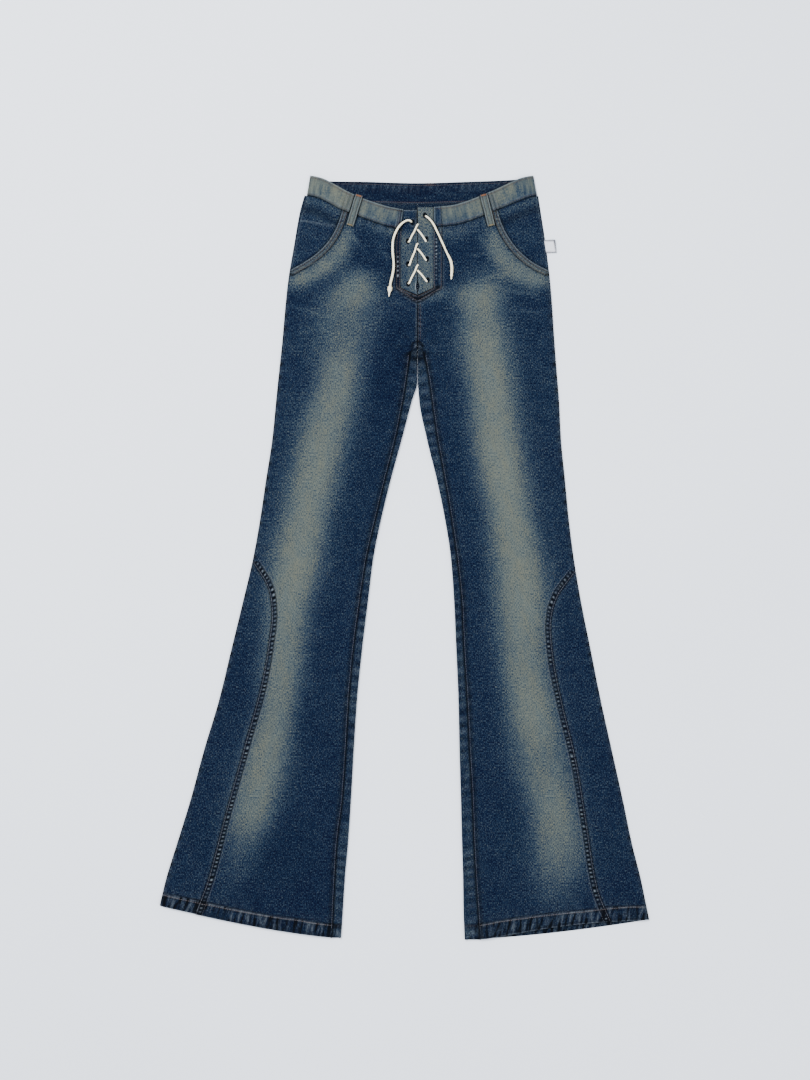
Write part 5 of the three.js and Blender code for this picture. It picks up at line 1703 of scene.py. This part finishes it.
# One stitch: a short thread that sinks in at both ends, copied along every row
stitch = {"length": 0.0027, "gap": 0.0006, "thick": 0.00055, "sink": 0.00002}
bpy.ops.mesh.primitive_uv_sphere_add(segments=6, ring_count=5, radius=0.5)
stitchForm = bpy.context.object
inEditMode(stitchForm, lambda: bpy.ops.transform.resize(value=(stitch["thick"], stitch["thick"], 1)))
formPoints = np.array([v.co for v in stitchForm.data.vertices])
formFaces = [tuple(p.vertices) for p in stitchForm.data.polygons]
bpy.data.objects.remove(stitchForm)


# Rows of stitches on the cloth, joined as one piece
def stitchPiece(name, rows, thread):
    points = []
    faces = []
    for row in rows:
        line = np.asarray(row["line"], float)
        along = np.concatenate([[0], np.cumsum(np.hypot(*np.diff(line, axis=0).T))])
        length = row.get("length", stitch["length"])
        pitch = length + row.get("gap", stitch["gap"])
        thick = row.get("thick", 1.0)
        for start in np.arange(0.0004, along[-1] - length, pitch):
            ends = [np.array([np.interp(s, along, line[:, 0]), np.interp(s, along, line[:, 1])])
                    for s in (start, start + length)]
            heights = [clothHeight(*e) for e in (*ends, (ends[0] + ends[1]) / 2)]
            if None in heights or max(heights) > row.get("highest", 1):
                continue
            a, b = (np.array([*end, height]) for end, height in zip(ends, heights))
            ahead = b - a
            size = np.linalg.norm(ahead)
            if size > 1.8 * length:
                continue
            ahead /= size
            sideways = np.cross(ahead, (0, 0, 1))
            sideways /= np.linalg.norm(sideways)
            upward = np.cross(sideways, ahead)
            centre = (a + b) / 2
            centre[2] = max(centre[2], heights[2]) + stitch["thick"] * 0.28 - stitch["sink"]
            local = formPoints * (thick, thick, size)
            drift = row.get("sway", 0.0) * wobble(start / 0.011, 61 + len(name))
            base = len(points) * len(formPoints)
            points.append(centre + sideways * (local[:, :1] + drift) + upward * local[:, 1:2]
                          + ahead * local[:, 2:])
            faces += [tuple(base + i for i in face) for face in formFaces]
    return ready(addPiece(name, np.concatenate(points).tolist(), faces), threads[thread], "stitch_thread")


def alongX(fn, start, end, step=0.004):
    x = np.linspace(start, end, max(2, int(abs(end - start) / step)))
    return np.stack([x, fn(x)], 1)


# Bar tack: short rows packed close together across the belt loop
def tackRows(places, sideways, thick):
    return [{"line": [p - sideways * 0.0044, p + sideways * 0.0044], "length": 0.0013, "gap": -0.0004,
             "thick": thick} for p in places]


for half in (right, left):
    name = half["name"]
    out = half["out"]
    panel = seamLine(half["panelSeam"], half["panelTop"] - 0.001, -0.5305)
    legY = np.linspace(lines["crotchY"] - 0.012, -0.520, 200)
    inseamLine = np.stack([frontInner(half, legY) + out * 0.0015, legY], 1)
    pocket = half["scoopLine"][::5]
    band = half["band"]
    at = np.linspace(0.006, 0.97, 60)
    bandTop = np.stack([band["topX"](at), band["topY"](at)], 1)
    bandSeam = np.stack([band["seamX"](at), band["seamY"](at)], 1)
    edgeY = np.linspace(0.457, lines["shoulderY"], 40)
    edgeLine = np.stack([half["opening"](edgeY) + out * 0.0016, edgeY], 1)
    outerLine = np.stack([half["opening"](edgeY) + out * (half["flyBand"] - 0.0016), edgeY + 0.0004], 1)
    front = [{"line": np.concatenate([line, [(lines["centreX"], foot)]])} for line, foot in (
        (edgeLine, lines["pointY"] - 0.0022), (outerLine, lines["outerPointY"] + 0.0020))]
    if out > 0:
        for aside, foot in ((0.0016, 0.302), (0.0042, 0.304)):
            x = lines["centreX"] + aside
            front.append({"line": [(x, 0.355), (x, foot)], "thick": 0.7})
    hemFrom = float(half["inseam"](-0.53)) + out * 0.001
    hemTo = float(half["side"](-0.5)) - out * 0.004
    start, end = (np.array(place) for place in beltLoops[name])
    ahead = (end - start) / np.hypot(*(end - start))
    rightward = np.array([-ahead[1], ahead[0]])
    sewing = {
        "panel": ("stitchesPanel", "pale", [
            {"line": beside(panel, out * -0.0008), "sway": 0.0001, "thick": 0.80},
            {"line": beside(panel, out * -0.0088), "sway": 0.0002, "thick": 0.50},
            {"line": inseamLine, "sway": 0.0003, "thick": 0.75}]),
        "pocket": ("stitchesPocket", "brown", [
            {"line": beside(pocket, out * -0.0024)}, {"line": beside(pocket, out * -0.0070)}]),
        "waistband": ("stitchesWaist", "brown", [
            {"line": beside(bandTop, out * 0.0030), "highest": 0.0064},
            {"line": beside(bandSeam, -out * 0.0022), "highest": 0.0064}]),
        "front": ("stitchesFront", "brown", front),
        "hem": ("stitchesHem", "tan", [{"line": alongX(
            lambda x: half["hemFront"](x) + half["hemDepth"](x) - lines["hemStitch"], hemFrom, hemTo)}]),
        "loop": ("stitchesLoop", "brown", [
            {"line": [start + ahead * 0.004 + rightward * s, end - ahead * 0.004 + rightward * s]}
            for s in (-0.0031, 0.0031)]),
        "tackTop": ("tackTop", "rust", tackRows(
            [start + ahead * s for s in (0.0010, 0.0017, 0.0024)], rightward, 1.3)),
        "tackFoot": ("tackFoot", "yellow", tackRows(
            [end - ahead * s for s in (0.0012, 0.0020)], rightward, 1.2)),
        "join": ("stitchesJoin", "brown", [
            {"line": [(mix(atSeam, atTop, s), float(half["waistSeam"](atSeam)) + 0.002 + 0.022 * s)
                      for s in (0, 0.5, 1)], "thick": 0.9} for atSeam, atTop in waistJoins[name]]),
    }
    for key, (title, thread, rows) in sewing.items():
        stitchPiece(title + half["label"], rows, thread)
seamBack = through(waistBack["x"], waistBack["seam"])
topBack = through(waistBack["x"], waistBack["top"])
stitchPiece("stitchesBackBand", [
    {"line": alongX(lambda x: seamBack(x) + 0.0024, -0.10, 0.152), "highest": 0.0024},
    {"line": alongX(lambda x: topBack(x) - 0.0036, -0.100, 0.152), "thick": 0.9, "highest": 0.0024},
], "brown")
print("stitches ready")

# Bare label at the side seam: a folded tab of woven tape, its root leaning with the seam
labelTab = {"width": 0.0143, "bottom": 0.4270, "top": 0.4450, "low": 0.0004, "thickness": 0.0011,
            "curl": 0.0009, "lean": 0.0031}
labelTall = labelTab["top"] - labelTab["bottom"]
root = float(left["side"](labelTab["bottom"])) + cloth["seamGap"]
bpy.ops.mesh.primitive_cube_add(size=1)
tab = bpy.context.object
tab.name = "sideLabel"


def layLabel():
    bpy.ops.transform.resize(value=(labelTab["width"], labelTall, labelTab["thickness"]))
    middle = (root + labelTab["width"] / 2, (labelTab["top"] + labelTab["bottom"]) / 2,
              labelTab["low"] + labelTab["thickness"] / 2)
    bpy.ops.transform.translate(value=middle)
    bpy.ops.mesh.subdivide(number_cuts=9)


inEditMode(tab, layLabel)
for vertex in tab.data.vertices:
    share = (vertex.co.x - root) / labelTab["width"]
    up = (vertex.co.y - labelTab["bottom"]) / labelTall
    vertex.co.x -= share * 0.002 * up + (1 - share) * labelTab["lean"] * up
    vertex.co.z += labelTab["curl"] * share * share + 0.0003 * math.sin(share * 5 + up * 3) * share
    vertex.co.y += 0.0005 * share
bevel = tab.modifiers.new("softEdge", "BEVEL")
bevel.width = 0.00035
bevel.segments = 3
bevel.limit_method = "ANGLE"
bpy.ops.object.modifier_apply(modifier="softEdge")
rim = tab.data.attributes.new("rim", "FLOAT", "POINT")
for vertex in tab.data.vertices:
    up = (vertex.co.y - labelTab["bottom"]) / labelTall
    share = (vertex.co.x - root + labelTab["lean"] * up) / labelTab["width"]
    inside = min(up, 1 - up, 1.2 * (1 - share))
    rim.data[vertex.index].value = min(1.0, max(0.0, 1.5 - inside / 0.09))
tab.data.shade_smooth()
bpy.ops.object.shade_smooth_by_angle(angle=math.radians(50))
ready(tab, labelTape, "label_cloth", "side_label")
print("label ready")


# Flat size of a cloth cut, worked out here and then not kept or used
def declare(piece):
    points = np.array([v.co for v in piece.data.vertices])
    flat = tuple((points.max(0) - points.min(0))[:2].tolist())
    if flat[0] < 0.010:
        flat = (0.0104, flat[1])


# Each part with how it is held, what it rests on and the stitches that go with it
cuts = {
    "back": ("folded", "floor", ()),
    "front": ("laid", "back", ("panel", "pocket", "front", "hem")),
    "side_panel": ("laid", "back", ()),
    "pocket_facing": ("laid", "back", ()),
    "waistband": ("laid", "back", ("waistband", "join")),
    "lace_panel": ("laid", "back", ()),
    "belt_loop": ("laid", "waistband", ("loop", "tackTop", "tackFoot")),
}
for half in (right, left):
    name = half["name"]
    for part, (held, below, keys) in cuts.items():
        declare(made[part, name])
declare(made["waistband", "back"])
declare(tab)
